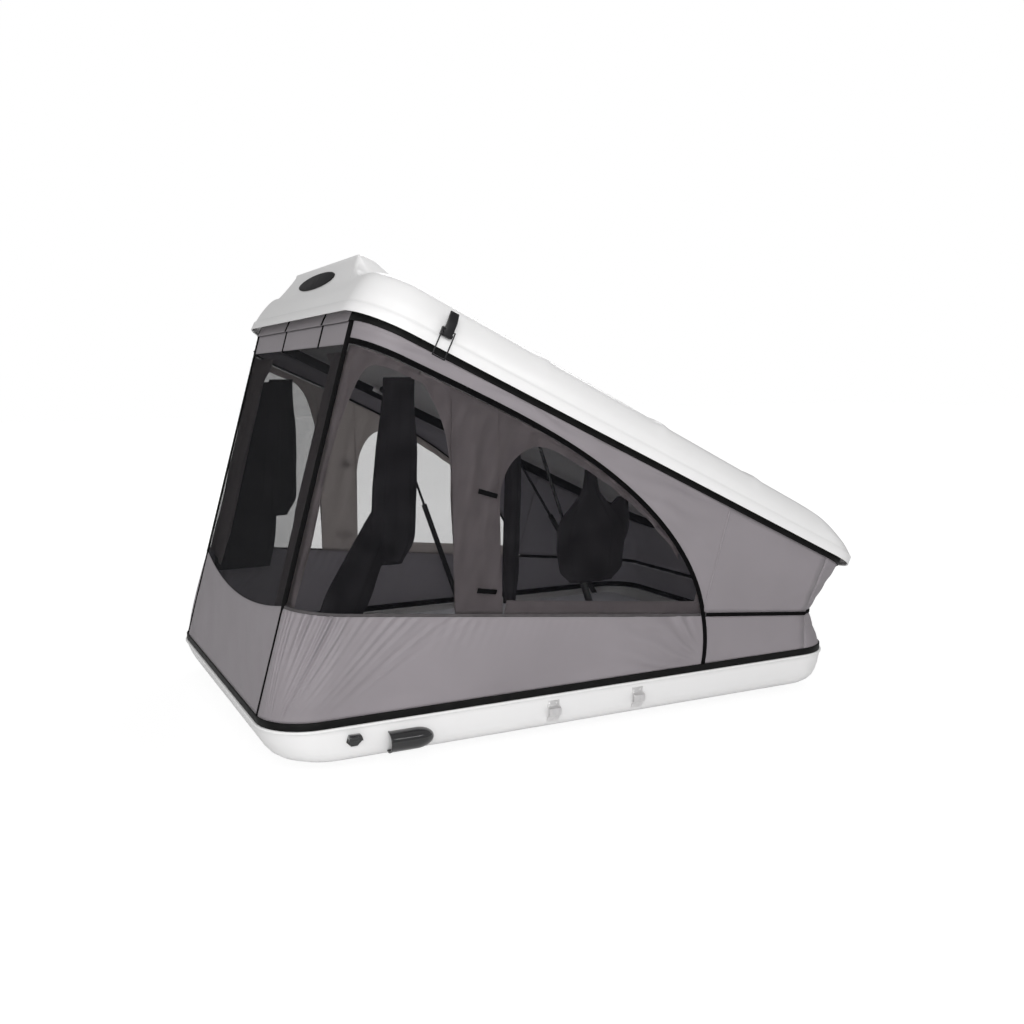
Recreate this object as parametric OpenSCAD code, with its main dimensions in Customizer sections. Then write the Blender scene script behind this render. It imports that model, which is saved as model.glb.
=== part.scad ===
// Hard shell roof top tent, shown open: a moulded base tray, a moulded roof
// that tilts up on gas struts, and a canvas body between them.
// X runs along the tent with the low front end at +X, Y across it, Z up.
// The origin is on the underside of the mounting rails, at the middle of the base.

/* [Base tray] */
// Length of the base rim
base_len = 2000; // [1800:10:2300]
// Width of the base rim
base_wid = 1400; // [1300:10:1600]
// Plan radius of the base corners
base_corner_r = 150; // [120:5:200]
// Depth of the tray below its rim
tray_depth = 106; // [100:1:140]
// Wall of the moulded tray
tray_wall = 6; // [4:0.5:8]
// How far the rim flange stands out from the tray side
flange_out = 5; // [3:0.5:7]
// Height of the rim flange
flange_h = 8; // [5:1:12]
// Height of the rubber band that holds the canvas to the rim
band_h = 22; // [16:1:26]
// Thickness of that band
band_t = 8; // [6:0.5:9]

/* [Mounting rails] */
// Height of the rails under the tray
rail_h = 30; // [24:1:45]
// Width of each rail box
rail_w = 40; // [30:1:60]
// Length of each rail
rail_len = 1300; // [1000:10:1500]
// Distance between the rail centre lines
rail_spacing = 860; // [700:10:960]
// Wall of the rail section
rail_wall = 3; // [2:0.5:5]
// Width of each rail flange
rail_flange_w = 16; // [14:1:24]
// Distance between the two bolt holes of a rail
bolt_spacing = 800; // [500:10:1000]
// Radius of a bolt hole
bolt_hole_r = 4.25; // [3:0.25:6]
// Radius of a rail rivet shank
rivet_r = 2.4; // [1.5:0.1:3]

/* [Roof shell] */
// Tilt of the open roof
roof_tilt = 25.6; // [22:0.1:28]
// How far the roof lip stands outside the base rim
lip_overhang = 13; // [12:0.5:20]
// X of the roof's front lip when open
lip_front_x = 1112; // [1090:1:1130]
// Height of the roof's front lip over the base rim when open
lip_front_rise = 269; // [250:1:290]
// Wall of the moulded roof
roof_wall = 5; // [4:0.5:7]
// Height of the lip band
lip_h = 30; // [28:1:36]
// Height of the roof top over its lip
roof_h = 128; // [120:1:150]
// How much higher the roof's top is at its rear end than at its front end
rear_rise = 42; // [34:1:46]
// Height of the rear hump over the lip
hump_h = 217; // [214:1:225]
// Half width of the hump's top edge
hump_half_w = 370; // [300:5:420]
// Height of the ledge inside the lip
ledge_v = 22; // [20:1:26]
// How far the ledge reaches in from the lip
ledge_in = 40; // [40:1:46]
// Thickness of the rubber seal
seal_t = 8; // [6:0.5:9]
// How far the seal hangs below the lip
seal_drop = 14; // [8:1:16]
// Half length of the blank name plate
plate_half_len = 200; // [150:5:230]
// Half height of the blank name plate
plate_half_h = 31; // [20:1:31]
// Height of the name plate's middle over the lip
plate_v = 153; // [152:1:154]

/* [Canvas] */
// Thickness of the canvas
cloth_t = 2; // [1:0.5:3]
// Thickness of the insect net
net_t = 1; // [0.6:0.2:2]
// Height of the side seam over the rim at mid length
seam_mid = 227; // [200:1:250]
// Fall of the side seam per metre towards the front
seam_fall = 108; // [80:1:130]
// Fraction of the wall's height at which the door zip starts
zip_top = 0.95; // [0.92:0.005:0.96]
// X of the door zip's foot
zip_foot_x = 425; // [380:5:470]
// Width of a zip band
zip_w = 14; // [8:1:20]
// Width of the black corner strips at the rear
strip_w = 20; // [14:1:26]
// How far the inner wall hangs inside the net
inner_gap = 10; // [8:1:16]
// Inward fold of the front wall at its piping
fold_in = 60; // [20:5:90]
// Width of the piping at the front fold
piping_w = 12; // [8:1:16]
// Width of a webbing strap
strap_w = 14; // [10:1:20]
// Length of a hook and loop tab
tab_len = 64; // [40:1:80]
// Height of a hook and loop tab
tab_h = 14; // [10:1:20]

/* [Bedding] */
// Distance of the mattress inside each end of the rim
bed_end_gap = 130; // [120:5:200]
// Distance of the mattress inside each side of the rim
bed_side_gap = 108; // [105:1:200]
// Thickness of the mattress at its edge
mattress_t = 64; // [50:1:80]
// Crown of the mattress
mattress_crown = 14; // [6:1:20]
// Number of sewn channels across the mattress
channel_count = 5; // [3:1:7]
// Depth of a sewn channel
channel_depth = 7; // [3:1:8]
// Height of the floor battens
batten_h = 20; // [16:1:26]
// Thickness of the floor panel
floor_t = 15; // [10:1:18]

/* [Lift struts] */
// Radius of a strut cylinder
strut_r = 11; // [9:0.5:13]
// Radius of a strut rod
rod_r = 5; // [4:0.5:6]
// Radius of the strut pivot pins
pin_r = 5; // [4:0.5:6]
// Radial clearance of pins and rods
run_gap = 0.05; // [0.02:0.01:0.1]
// Radius of the strut eyes
eye_r = 14; // [12:0.5:16]
// Width of the strut eyes
eye_w = 12; // [10:1:14]
// Distance of the struts inside the base rim
strut_inset = 84; // [82:1:86]
// Distance of the front struts' base pivots behind the front of the rim
front_base_x = 180; // [175:5:200]
// Distance of the rear struts' base pivots behind the front of the rim
rear_base_x = 850; // [840:5:860]
// Depth of the base pivots below the rim
pivot_drop = 50; // [46:1:54]
// Distance of the front roof pivots behind the front lip
front_roof_u = 800; // [790:5:810]
// Distance of the rear roof pivots behind the front lip
rear_roof_u = 1450; // [1440:5:1460]
// Height of the roof pivots over the lip
roof_pivot_v = 20; // [16:1:22]
// Length of a front strut cylinder from its pivot
front_cyl_len = 480; // [470:5:490]
// Length of a rear strut cylinder from its pivot
rear_cyl_len = 520; // [510:5:530]
// Gap beside the rear roof studs, where the linkage is open
open_pivot_gap = 2; // [1:0.5:4]

/* [Latches] */
// Distance of the latches before the rear lip
latch_u = 251; // [226:5:326]
// Width of the latch lever
lever_w = 26; // [22:1:30]
// Length of the latch lever above its pin
lever_len = 68; // [55:1:75]
// Radius of the latch pin
latch_pin_r = 2.5; // [2:0.25:3]
// Radius of the bail wire
bail_r = 2; // [1.5:0.25:2.5]
// Length of the bail below the lever pin
bail_len = 67; // [55:1:75]
// Width of the keepers on the base
keeper_w = 46; // [40:1:56]
// Height of the keepers
keeper_h = 35; // [30:1:40]
// How far the keepers stand out
keeper_out = 22; // [16:1:23]

/* [Side fittings] */
// Distance of the vent cowl's open mouth from the rear of the rim
cowl_x = 338; // [320:1:360]
// Length of the vent cowl
cowl_len = 138; // [120:1:160]
// Radius of the vent cowl
cowl_r = 31; // [26:1:33]
// Wall of the vent cowl
cowl_wall = 3; // [2:0.5:4]
// X of the first saddle loop on each side
loop_x = -132; // [-160:1:-100]
// Distance between the two saddle loops
loop_spacing = 302; // [250:1:350]
// Width of a saddle loop's flanges
loop_w = 40; // [30:1:50]
// How far a saddle loop stands out
loop_out = 16; // [12:1:20]
// Thickness of the saddle loop strip
loop_t = 2; // [1.5:0.5:3]

/* [Hidden] */
$fn = 64;
round_n = 10;
seat_gap = 0.3;
cut = 1;
half_l = base_len / 2;
cowl_mouth = -half_l + cowl_x;
half_w = base_wid / 2;
rim_z = rail_h + tray_depth;
band_top = rim_z + band_h;
lip_half_l = half_l + lip_overhang;
lip_half_w = half_w + lip_overhang;
lip_r = base_corner_r + lip_overhang;
roof_x = lip_front_x - lip_half_l * cos(roof_tilt);
roof_z = rim_z + lip_front_rise + lip_half_l * sin(roof_tilt);
seal_in = ledge_in - seal_t - 2;
pivot_z = rim_z - pivot_drop;
strut_y = half_w - strut_inset;
mattress_len = base_len - 2 * bed_end_gap;
mattress_wid = base_wid - 2 * bed_side_gap;

// The tray's section: depth below the rim, then insets at the rear, side and front.
tray_section = [[1, 104, 40, 85], [0.97, 76, 24, 60], [0.9, 54, 13, 42], [0.8, 38, 7, 28],
    [0.66, 25, 3, 18], [0.42, 12, 1, 8], [0.2, 3, 0, 2]];
// The roof's section: height over the lip, then insets at the rear, side and front.
roof_section = [[0.27, 4, 4, 6], [0.48, 10, 12, 48], [0.72, 22, 34, 120], [0.875, 46, 75, 235],
    [0.953, 110, 140, 420], [1, 300, 260, 700]];

// Points, lofts and the roof's place

function mix(a, b, t) = a + (b - a) * t;
function between(x, lo, hi) = max(lo, min(hi, x));

// A rounded rectangle at height z, from x0 to x1, counter-clockwise from above.
function ring(x0, x1, hw, r, z, n = round_n) = [
    for (c = [[x1 - r, hw - r, 0], [x0 + r, hw - r, 90], [x0 + r, r - hw, 180], [x1 - r, r - hw, 270]])
        for (i = [0:n])
            [c[0] + r * cos(c[2] + 90 * i / n), c[1] + r * sin(c[2] + 90 * i / n), z]];

// A closed solid through rings of equally many points, capped at both ends.
module loft(rings) {
    n = len(rings[0]);
    m = len(rings);
    points = [for (r = rings) for (p = r) p];
    sides = [for (k = [0:m - 2]) for (i = [0:n - 1])
        for (f = [[k * n + i, k * n + n + i, k * n + n + (i + 1) % n],
            [k * n + i, k * n + n + (i + 1) % n, k * n + (i + 1) % n]]) f];
    bottom = [for (i = [0:n - 1]) i];
    top = [for (i = [n - 1:-1:0]) (m - 1) * n + i];
    polyhedron(points, concat(sides, [bottom, top]));
}

// Mirrors its children to the left side when asked to.
module on_side(left) {
    mirror([0, left ? 1 : 0, 0]) children();
}

module both_sides() {
    on_side(false) children();
    on_side(true) children();
}

// Puts its children, drawn over the roof's lip plane, on the open roof.
module on_roof() {
    translate([roof_x, 0, roof_z]) rotate([0, roof_tilt, 0]) children();
}

function roof_point(x, y, v) = [roof_x + x * cos(roof_tilt) + v * sin(roof_tilt), y,
    roof_z - x * sin(roof_tilt) + v * cos(roof_tilt)];

module rounded_plate(hl, hw, r, h) {
    linear_extrude(h) rounded_outline(hl, hw, r);
}

module rounded_outline(hl, hw, r) {
    square([2 * hl, 2 * (hw - r)], center = true);
    square([2 * (hl - r), 2 * hw], center = true);
    for (x = [-1, 1]) for (y = [-1, 1]) translate([x * (hl - r), y * (hw - r)]) circle(r);
}

// Base tray, rails and floor

function tray_ring(s, inset) = ring(-half_l + s[1] + inset, half_l - s[3] - inset, half_w - s[2] - inset,
    base_corner_r - s[2] - inset / 2, rim_z - s[0] * tray_depth + inset);

function rim_ring(out, z) = ring(-half_l - out, half_l + out, half_w + out, base_corner_r + out, z);

module tray_outside() {
    loft(concat([for (s = tray_section) tray_ring(s, 0)], [rim_ring(0, rim_z - flange_h)],
        [rim_ring(0, rim_z)]));
}

module base_tray() {
    outer = [for (s = tray_section) tray_ring(s, 0)];
    rim = [rim_ring(0, rim_z - flange_h), rim_ring(flange_out, rim_z - flange_h),
        rim_ring(flange_out, rim_z),
        rim_ring(-tray_wall - band_t, rim_z), rim_ring(-tray_wall - band_t, rim_z - tray_wall),
        rim_ring(-tray_wall, rim_z - flange_h)];
    inner = [for (k = [len(tray_section) - 1:-1:0]) tray_ring(tray_section[k], tray_wall)];
    color("white") loft(concat(outer, rim, inner));
}

module base_edge_band() {
    color("black") translate([0, 0, rim_z]) difference() {
        rounded_plate(half_l, half_w, base_corner_r, band_h);
        translate([0, 0, -cut]) rounded_plate(half_l - band_t, half_w - band_t, base_corner_r - band_t,
            band_h + 2 * cut);
    }
}

function rivet_places() = [for (x = [-1:0.4:1]) for (y = [-1, 1])
    [x * (rail_len / 2 - 30), y * (rail_w / 2 + rail_flange_w / 2)]];

module rail() {
    difference() {
        union() {
            translate([-rail_len / 2, -rail_w / 2, 0]) cube([rail_len, rail_w, rail_h]);
            translate([-rail_len / 2, -rail_w / 2 - rail_flange_w, rail_h - rail_wall])
                cube([rail_len, rail_w + 2 * rail_flange_w, rail_wall]);
        }
        translate([-rail_len / 2 - cut, -rail_w / 2 + rail_wall, rail_wall])
            cube([rail_len + 2 * cut, rail_w - 2 * rail_wall, rail_h - 2 * rail_wall]);
        for (x = [-1, 1]) translate([x * bolt_spacing / 2, 0, -cut])
            cylinder(r = bolt_hole_r, h = rail_wall + 2 * cut);
        for (p = rivet_places()) translate([p[0], p[1], 0])
            cylinder(r = rivet_r + run_gap, h = rail_h + cut);
    }
}

module mounting_rails() {
    color("silver") for (y = [-1, 1]) translate([0, y * rail_spacing / 2, 0]) rail();
}

module rail_rivets() {
    head_h = 2;
    color("gray") for (y = [-1, 1]) translate([0, y * rail_spacing / 2, rail_h - rail_wall])
        for (p = rivet_places()) translate([p[0], p[1], -head_h]) {
            cylinder(r = 2 * rivet_r, h = head_h);
            cylinder(r = rivet_r, h = head_h + rail_wall);
        }
}

floor_z = rail_h + tray_wall;
bed_z = floor_z + batten_h + floor_t;

module floor_battens() {
    batten_w = 60;
    batten_short = 80;
    batten_place = 0.36;
    batten_len = mattress_wid - batten_short;
    color("burlywood") for (x = [-1, 0, 1]) translate([x * batten_place * mattress_len, 0, floor_z])
        translate([-batten_w / 2, -batten_len / 2, 0]) cube([batten_w, batten_len, batten_h]);
}

module floor_panel() {
    color("burlywood") translate([0, 0, floor_z + batten_h])
        rounded_plate(mattress_len / 2 - 5, mattress_wid / 2 - 4, 80, floor_t);
}

// The mattress has a crown, drawn-in sides and sewn channels across it.
function channel(x) = channel_depth
    * pow(abs(cos(180 * (x / mattress_len + 0.5) * (channel_count + 1))), 14);

module mattress() {
    nx = 48;
    ny = 8;
    hl = mattress_len / 2;
    hw = mattress_wid / 2;
    function along(i) = -hl + 2 * hl * i / nx;
    function across(j) = -hw + 2 * hw * j / ny;
    function edge(a, h) = 1 - pow(abs(a / h), 8);
    function top_z(x, y) = bed_z + mattress_t + mattress_crown * edge(x, hl) * edge(y, hw)
        - channel(x) * edge(y, hw) * (abs(x) > hl - 60 ? 0 : 1);
    function drawn(a, h) = a - sign(a) * (abs(a) > 0.99 * h ? 8 : 0);
    top = [for (i = [0:nx]) for (j = [0:ny]) [along(i), across(j), top_z(along(i), across(j))]];
    low = [for (i = [0:nx]) for (j = [0:ny]) [drawn(along(i), hl), drawn(across(j), hw), bed_z]];
    w = ny + 1;
    count = (nx + 1) * w;
    up = [for (i = [0:nx - 1]) for (j = [0:ny - 1])
        for (f = quad(i * w + j, i * w + j + 1, (i + 1) * w + j + 1, (i + 1) * w + j)) f];
    down = [for (i = [0:nx - 1]) for (j = [0:ny - 1])
        let (a = count + i * w + j) for (f = quad(a, a + w, a + w + 1, a + 1)) f];
    border = concat([for (i = [0:nx]) i * w], [for (j = [1:ny]) nx * w + j],
        [for (i = [nx - 1:-1:0]) i * w + ny], [for (j = [ny - 1:-1:1]) j]);
    n = len(border);
    sides = [for (k = [0:n - 1])
        for (f = quad(border[k], border[(k + 1) % n], count + border[(k + 1) % n], count + border[k])) f];
    color("lightgray") polyhedron(concat(top, low), concat(up, down, sides));
}

// Roof

// A height over the lip at x, with the rise of the roof's top towards the rear.
function risen(x, v) = v + rear_rise * (lip_half_l - x) / (2 * lip_half_l)
    * between((v - lip_h) / (roof_h - lip_h), 0, 1);

function roof_ring(s, inset) = [for (p = ring(-lip_half_l + s[1] + inset, lip_half_l - s[3] - inset,
    lip_half_w - s[2] - inset, max(40, lip_r - s[2] / 2 - inset), s[0] * roof_h - inset))
    [p[0], p[1], risen(p[0], p[2])]];

function lip_ring(inset, v) = ring(-lip_half_l + inset, lip_half_l - inset, lip_half_w - inset,
    lip_r - inset, v);

module roof_shell() {
    ledge_t = roof_wall;
    inner = [for (k = [len(roof_section) - 1:-1:1]) roof_ring(roof_section[k], roof_wall)];
    ledge = [lip_ring(roof_wall + 2, ledge_v + ledge_t), lip_ring(ledge_in, ledge_v + ledge_t),
        lip_ring(ledge_in, ledge_v), lip_ring(roof_wall, ledge_v), lip_ring(roof_wall, 0)];
    outer = concat([lip_ring(0, 0), lip_ring(0, lip_h)], [for (s = roof_section) roof_ring(s, 0)]);
    color("white") on_roof() difference() {
        union() {
            loft(concat(inner, ledge, outer));
            hump(0, hump_foot_v);
        }
        hump(roof_wall, hump_foot_v - 20);
    }
}

// The raised hump at the rear, with its flat end face. It is hollow from below.
hump_back = roof_section[2][1];
hump_foot_v = risen(-lip_half_l + hump_back, roof_section[2][0] * roof_h) - 1;
hump_lean = 8;
hump_round = 30;
// How far the hump reaches from the rear lip at its foot, shoulder and top.
hump_reach = [200, 150, 110];
// How much wider than its top edge it is there.
hump_flare = [90, 40, 0];
function hump_ring(k, back, inset, v) = ring(-lip_half_l + back + inset,
    -lip_half_l + hump_reach[k] - inset, hump_half_w + hump_flare[k] - inset, 20, v, 4);

module hump(inset, foot_v) {
    loft([hump_ring(0, hump_back, inset, foot_v),
        hump_ring(1, hump_back + hump_lean, inset, hump_h - hump_round),
        hump_ring(2, hump_back + hump_lean + 4, inset, hump_h - inset)]);
}

module roof_seal() {
    color("black") on_roof() translate([0, 0, -seal_drop]) difference() {
        rounded_plate(lip_half_l - seal_in, lip_half_w - seal_in, lip_r - seal_in, seal_drop + ledge_v);
        translate([0, 0, -cut]) rounded_plate(lip_half_l - seal_in - seal_t, lip_half_w - seal_in - seal_t,
            lip_r - seal_in - seal_t, seal_drop + ledge_v + 2 * cut);
    }
}

module roof_liner() {
    s = roof_section[len(roof_section) - 1];
    liner_t = 14;
    mid_x = (s[1] - s[3]) / 2;
    reach = lip_half_l - (s[1] + s[3]) / 2 - 20;
    outline = ring(mid_x - reach, mid_x + reach, lip_half_w - s[2] - 10, 60, roof_h - roof_wall);
    color("dimgray") on_roof() loft([for (drop = [seat_gap + liner_t, seat_gap])
        [for (p = outline) [p[0], p[1], risen(p[0], p[2]) - drop]]]);
}

// A blank oval plate on the hump's end face.
module name_plate() {
    plate_t = 2.5;
    face_h = hump_h - hump_round - hump_foot_v;
    face_lean = atan(hump_lean / face_h);
    back = hump_back + hump_lean * (plate_v - hump_foot_v) / face_h;
    color("black") on_roof() translate([-lip_half_l + back - seat_gap, 0, plate_v])
        rotate([0, -90 + face_lean, 0]) linear_extrude(plate_t)
            scale([plate_half_h / plate_half_len, 1]) circle(plate_half_len);
}

// Canvas walls
// A wall point has a place s round the tent and a fraction t of the wall's height.
// s runs 0 to 1 over half the rear edge, to 2 round a corner, to 3 along the side,
// to 4 round the front corner and to 5 over half the front edge; past 5 and below 0
// it goes on round the other side. d is how far inside the outer face the point lies.

function near_loop(hl, hw, r, s) =
    s <= 1 ? [-hl, -(hw - r) * s] :
    s <= 2 ? [-(hl - r) - r * cos(90 * (s - 1)), -(hw - r) - r * sin(90 * (s - 1))] :
    s <= 3 ? [-(hl - r) + 2 * (hl - r) * (s - 2), -hw] :
    s <= 4 ? [(hl - r) + r * sin(90 * (s - 3)), -(hw - r) - r * cos(90 * (s - 3))] :
    [hl, -(hw - r) * (5 - s)];
function flip(p) = [p[0], -p[1]];
function loop_point(hl, hw, r, s) = s < 0 ? flip(near_loop(hl, hw, r, -s)) :
    s > 5 ? flip(near_loop(hl, hw, r, 10 - s)) : near_loop(hl, hw, r, s);

band_mid = band_t / 2;
seal_mid = seal_in + seal_t / 2;
function foot(s, d) = let (i = band_mid + d, p = loop_point(half_l - i, half_w - i, base_corner_r - i, s))
    [p[0], p[1], band_top + seat_gap];
function head(s, d) = let (i = seal_mid + d, p = loop_point(lip_half_l - i, lip_half_w - i, lip_r - i, s))
    roof_point(p[0], p[1], -seal_drop - seat_gap);

function side_place(s) = s > 5 ? 10 - s : abs(s);
// Fraction of the wall's height at the seam, which lies on a plane that falls to the front.
function seam(s) = let (a = foot(s, 0), b = head(s, 0), x = mix(a[0], b[0], 0.28))
    (rim_z + seam_mid - seam_fall * x / 1000 - a[2]) / (b[2] - a[2]);
function rear_seam(s) = seam(1) - 0.05 * (1 - s * s);
function folded(s, t) = fold_in * between((side_place(s) - 2.6) / 0.6, 0, 1)
    * (t < seam(s) ? t / seam(s) : (1 - t) / (1 - seam(s)));
function wall(s, t, d) = let (inside = d + folded(s, t)) mix(foot(s, inside), head(s, inside), t);

function wall_rise(s) = head(s, 0)[2] - foot(s, 0)[2];

// A column of a sheet holds its low and its high end, each as [s, t].
function column(s, low, high) = [[s, low], [s, high]];
function on_column(c, f, d) = let (p = mix(c[0], c[1], f)) wall(p[0], p[1], d);
function quad(a, b, c, e) = [[a, b, c], [a, c, e]];

// A sheet of thickness th over columns, d inside the outer face. Its top edge leans out by lean.
module sheet(cols, d, th, rows = 2, lean = 0) {
    m = len(cols);
    w = rows + 1;
    face = function (depth) [for (c = cols) for (j = [0:rows])
        on_column(c, j / rows, depth - (j == rows ? lean : 0))];
    count = m * w;
    outer = [for (i = [0:m - 2]) for (j = [0:rows - 1])
        for (f = quad(i * w + j, i * w + j + 1, i * w + w + j + 1, i * w + w + j)) f];
    inner = [for (f = outer) [count + f[2], count + f[1], count + f[0]]];
    border = concat([for (j = [0:rows]) j], [for (i = [1:m - 1]) i * w + rows],
        [for (j = [rows - 1:-1:0]) (m - 1) * w + j], [for (i = [m - 2:-1:1]) i * w]);
    n = len(border);
    rim = [for (k = [0:n - 1])
        for (f = quad(border[k], count + border[k], count + border[(k + 1) % n], border[(k + 1) % n])) f];
    polyhedron(concat(face(d), face(d + th)), concat(outer, inner, rim));
}

// Places for columns: a few on straight walls, more round a corner.
function steps(a, b, n) = [for (i = [0:n]) mix(a, b, i / n)];

side_run = 2 * (half_l - base_corner_r);
corner_run = PI / 4 * (base_corner_r - band_mid + lip_r - seal_mid);
strip_end = 1 + strip_w / corner_run;
strip_start = 1 - strip_w / 3 / (half_w - base_corner_r);
rear_head_t = 0.94;
proud = 1;

// The door zip runs below the roof and sweeps down to the rim.
zip_foot = 2.5 + zip_foot_x / side_run;
zip_reach = zip_foot - 2;
function zip_t(s) = zip_top * (s < 2 ? 1 : sqrt(max(0, 1 - pow((s - 2) / zip_reach, 4))));
zip_turns = concat([1, 3, 6, 10, 14], [for (a = [20:6:80]) a], [85, 90]);
zip_path = concat([for (s = steps(strip_end, 2, 12)) [s, zip_top]],
    [for (a = zip_turns) [2 + zip_reach * sqrt(sin(a)), zip_top * cos(a)]]);

// The zip crosses the seam here. Above it the zip parts net and header, below it skirt and front wall.
zip_cross = 2 + zip_reach * pow(1 - pow(seam(zip_foot) / zip_top, 2), 0.25);
near_cross = 0.004;
side_path = concat([for (p = zip_path) if (p[0] < zip_cross - 2 * near_cross) p],
    [[zip_cross - near_cross, zip_t(zip_cross - near_cross)]]);
cross_point = [[zip_cross, zip_t(zip_cross)]];
foot_path = [for (p = zip_path) if (p[0] > zip_cross + near_cross && p[1] > 0.01) p];

rear_columns = steps(-strip_start, strip_start, 8);
front_places = concat(steps(zip_foot, 3, 4), steps(3.125, 4, 7), steps(4.25, 5, 3));
front_half = concat(foot_path, [for (s = front_places) [s, 0]]);
front_path = concat(front_half,
    [for (k = [len(front_half) - 2:-1:0]) [10 - front_half[k][0], front_half[k][1]]]);
function piping_half(s) = piping_w / 2 / wall_rise(s);

module rear_skirt() {
    color("darkgray") sheet([for (s = rear_columns) column(s, 0, rear_seam(s))], 0, cloth_t);
}

module rear_net() {
    color("dimgray") sheet([for (s = rear_columns) column(s, rear_seam(s), rear_head_t)], 0, net_t);
}

module rear_header() {
    color("darkgray") sheet([for (s = rear_columns) column(s, rear_head_t, 1)], 0, cloth_t);
}

// Places along the rear of the two straps on the header.
strap_places = [-0.26, 0.52];

module rear_header_straps() {
    half = strap_w / 2 / (half_w - base_corner_r);
    color("black") for (s = strap_places)
        sheet([for (e = [s - half, s + half]) column(e, rear_head_t, 1)], -proud - seat_gap, proud);
}

module corner_strips() {
    color("black") both_sides()
        sheet([for (s = steps(strip_start, strip_end, 3)) column(s, 0, 1)], -proud, cloth_t + proud, 8);
}

module skirt() {
    sheet(concat([for (p = side_path) column(p[0], 0, seam(p[0]))],
        [for (p = concat(cross_point, foot_path)) column(p[0], 0, p[1])]), 0, cloth_t);
}

module header() {
    sheet([for (p = concat(side_path, cross_point)) column(p[0], p[1], 1)], 0, cloth_t);
}

module net() {
    sheet([for (p = side_path) column(p[0], seam(p[0]), p[1])], 0, net_t);
}

// A point beside the zip's path, half the band's width to one side of it.
function zip_edge(k, side) = let (
    p = zip_path[k],
    next = zip_path[min(k + 1, len(zip_path) - 1)],
    last = zip_path[max(k - 1, 0)],
    run = [p[0] < 2 ? corner_run : side_run, wall_rise(p[0])],
    along = [(next[0] - last[0]) * run[0], (next[1] - last[1]) * run[1]],
    off = [-along[1], along[0]] / norm(along) * zip_w / 2 * side)
    [p[0] + off[0] / run[0], max(0, p[1] + off[1] / run[1])];

module zip() {
    sheet([for (k = [0:len(zip_path) - 1]) [zip_edge(k, -1), zip_edge(k, 1)]], -2.5 * proud, proud, 1);
}

// Two openings in the inner wall: the rear door, which ends at an upright edge, and the side
// window, which starts at one and runs on below the zip. Runs along the wall are in mm from
// the rear corner strip, and the upright edges are at an X.
door_left = 55;
door_peak = 280;
door_end = 560;
window_start = 710;
door_right_x = -half_l + door_end;
window_left_x = -half_l + window_start;
inner_end = 1300;
arch_top = 0.915;
arch_power = 6;
// How far the openings' upper corners are rounded down, and how long the window's rounding is.
door_drop = 0.28;
window_drop = 0.27;
window_round = 200;
window_gap = 0.045;
inner_drop = 0.01;
function place_at(run) = run < corner_run ? 1 + run / corner_run : 2 + (run - corner_run) / side_run;
function wall_x(s, t) = mix(foot(s, 0)[0], head(s, 0)[0], t);
// The place along the side at which the wall passes X at the fraction t, and at which the zip does.
function side_at(x, t) = 2 + (x - wall_x(2, t)) / (wall_x(3, t) - wall_x(2, t));
function zip_at(x, s = 2, turns = 8) = turns == 0 ? s : zip_at(x, side_at(x, zip_t(s)), turns - 1);
function seam_at(x) = seam(side_at(x, seam(2)));
function quarter(f) = 1 - sqrt(1 - pow(between(f, 0, 1), 2));

door_peak_x = wall_x(place_at(door_peak), arch_top);
inner_end_x = wall_x(place_at(inner_end), zip_t(place_at(inner_end)));
function corner_low(run) = let (b = seam(place_at(run))) run < door_left ? b :
    mix(b, arch_top, pow(1 - pow((door_peak - run) / (door_peak - door_left), arch_power), 1 / arch_power));
function upright_low(x) =
    x < door_right_x ? arch_top - door_drop * quarter((x - door_peak_x) / (door_right_x - door_peak_x)) :
    x < window_left_x ? seam_at(x) :
    max(seam_at(x), zip_t(zip_at(x)) - window_gap
        - window_drop * quarter(1 - (x - window_left_x) / window_round));
function upright(x) = let (low = upright_low(x), s = zip_at(x))
    [[side_at(x, low), low], [s, max(low + inner_drop, zip_t(s) - inner_drop)]];
corner_runs = concat([20], [for (a = [-1, 0.1, 4, 15, 40]) door_left + a], steps(140, door_peak, 5));
upright_xs = concat(steps(door_peak_x + 8, door_right_x - 1, 7),
    steps(door_right_x + 0.1, window_left_x - 0.1, 3),
    [for (f = [0.005, 0.05, 0.15, 0.3, 0.5, 0.75]) window_left_x + f * window_round],
    steps(window_left_x + window_round, inner_end_x, 8));

module inner_wall() {
    sheet(concat([for (run = corner_runs) let (s = place_at(run))
        column(s, corner_low(run), zip_t(s) - inner_drop)], [for (x = upright_xs) upright(x)]),
        inner_gap, cloth_t, 2, inner_gap - net_t - 2 * seat_gap);
}

// Two hook and loop tabs, each at an [s, t] place on the net.
tab_places = [[2.207, 0.676], [2.247, 0.366]];

module tabs() {
    half = tab_len / 2 / side_run;
    for (p = tab_places) let (rise = tab_h / 2 / wall_rise(p[0]))
        sheet([for (s = [p[0] - half, p[0] + half]) column(s, p[1] - rise, p[1] + rise)],
            -proud - seat_gap, proud);
}

module front_wall_lower() {
    color("darkgray") sheet([for (p = front_path)
        column(p[0], p[1], seam(p[0]) - piping_half(p[0]))], 0, cloth_t);
}

module front_wall_upper() {
    ends = [zip_cross, 10 - zip_cross];
    color("darkgray") sheet([for (s = concat([ends[0]], [for (p = front_path) p[0]], [ends[1]]))
        column(s, seam(s) + piping_half(s), 1)], 0, cloth_t);
}

module front_piping() {
    color("black") sheet([for (p = front_path) let (s = p[0])
        column(s, seam(s) - piping_half(s), seam(s) + piping_half(s))], -2 * proud, cloth_t + 3 * proud);
}

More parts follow.
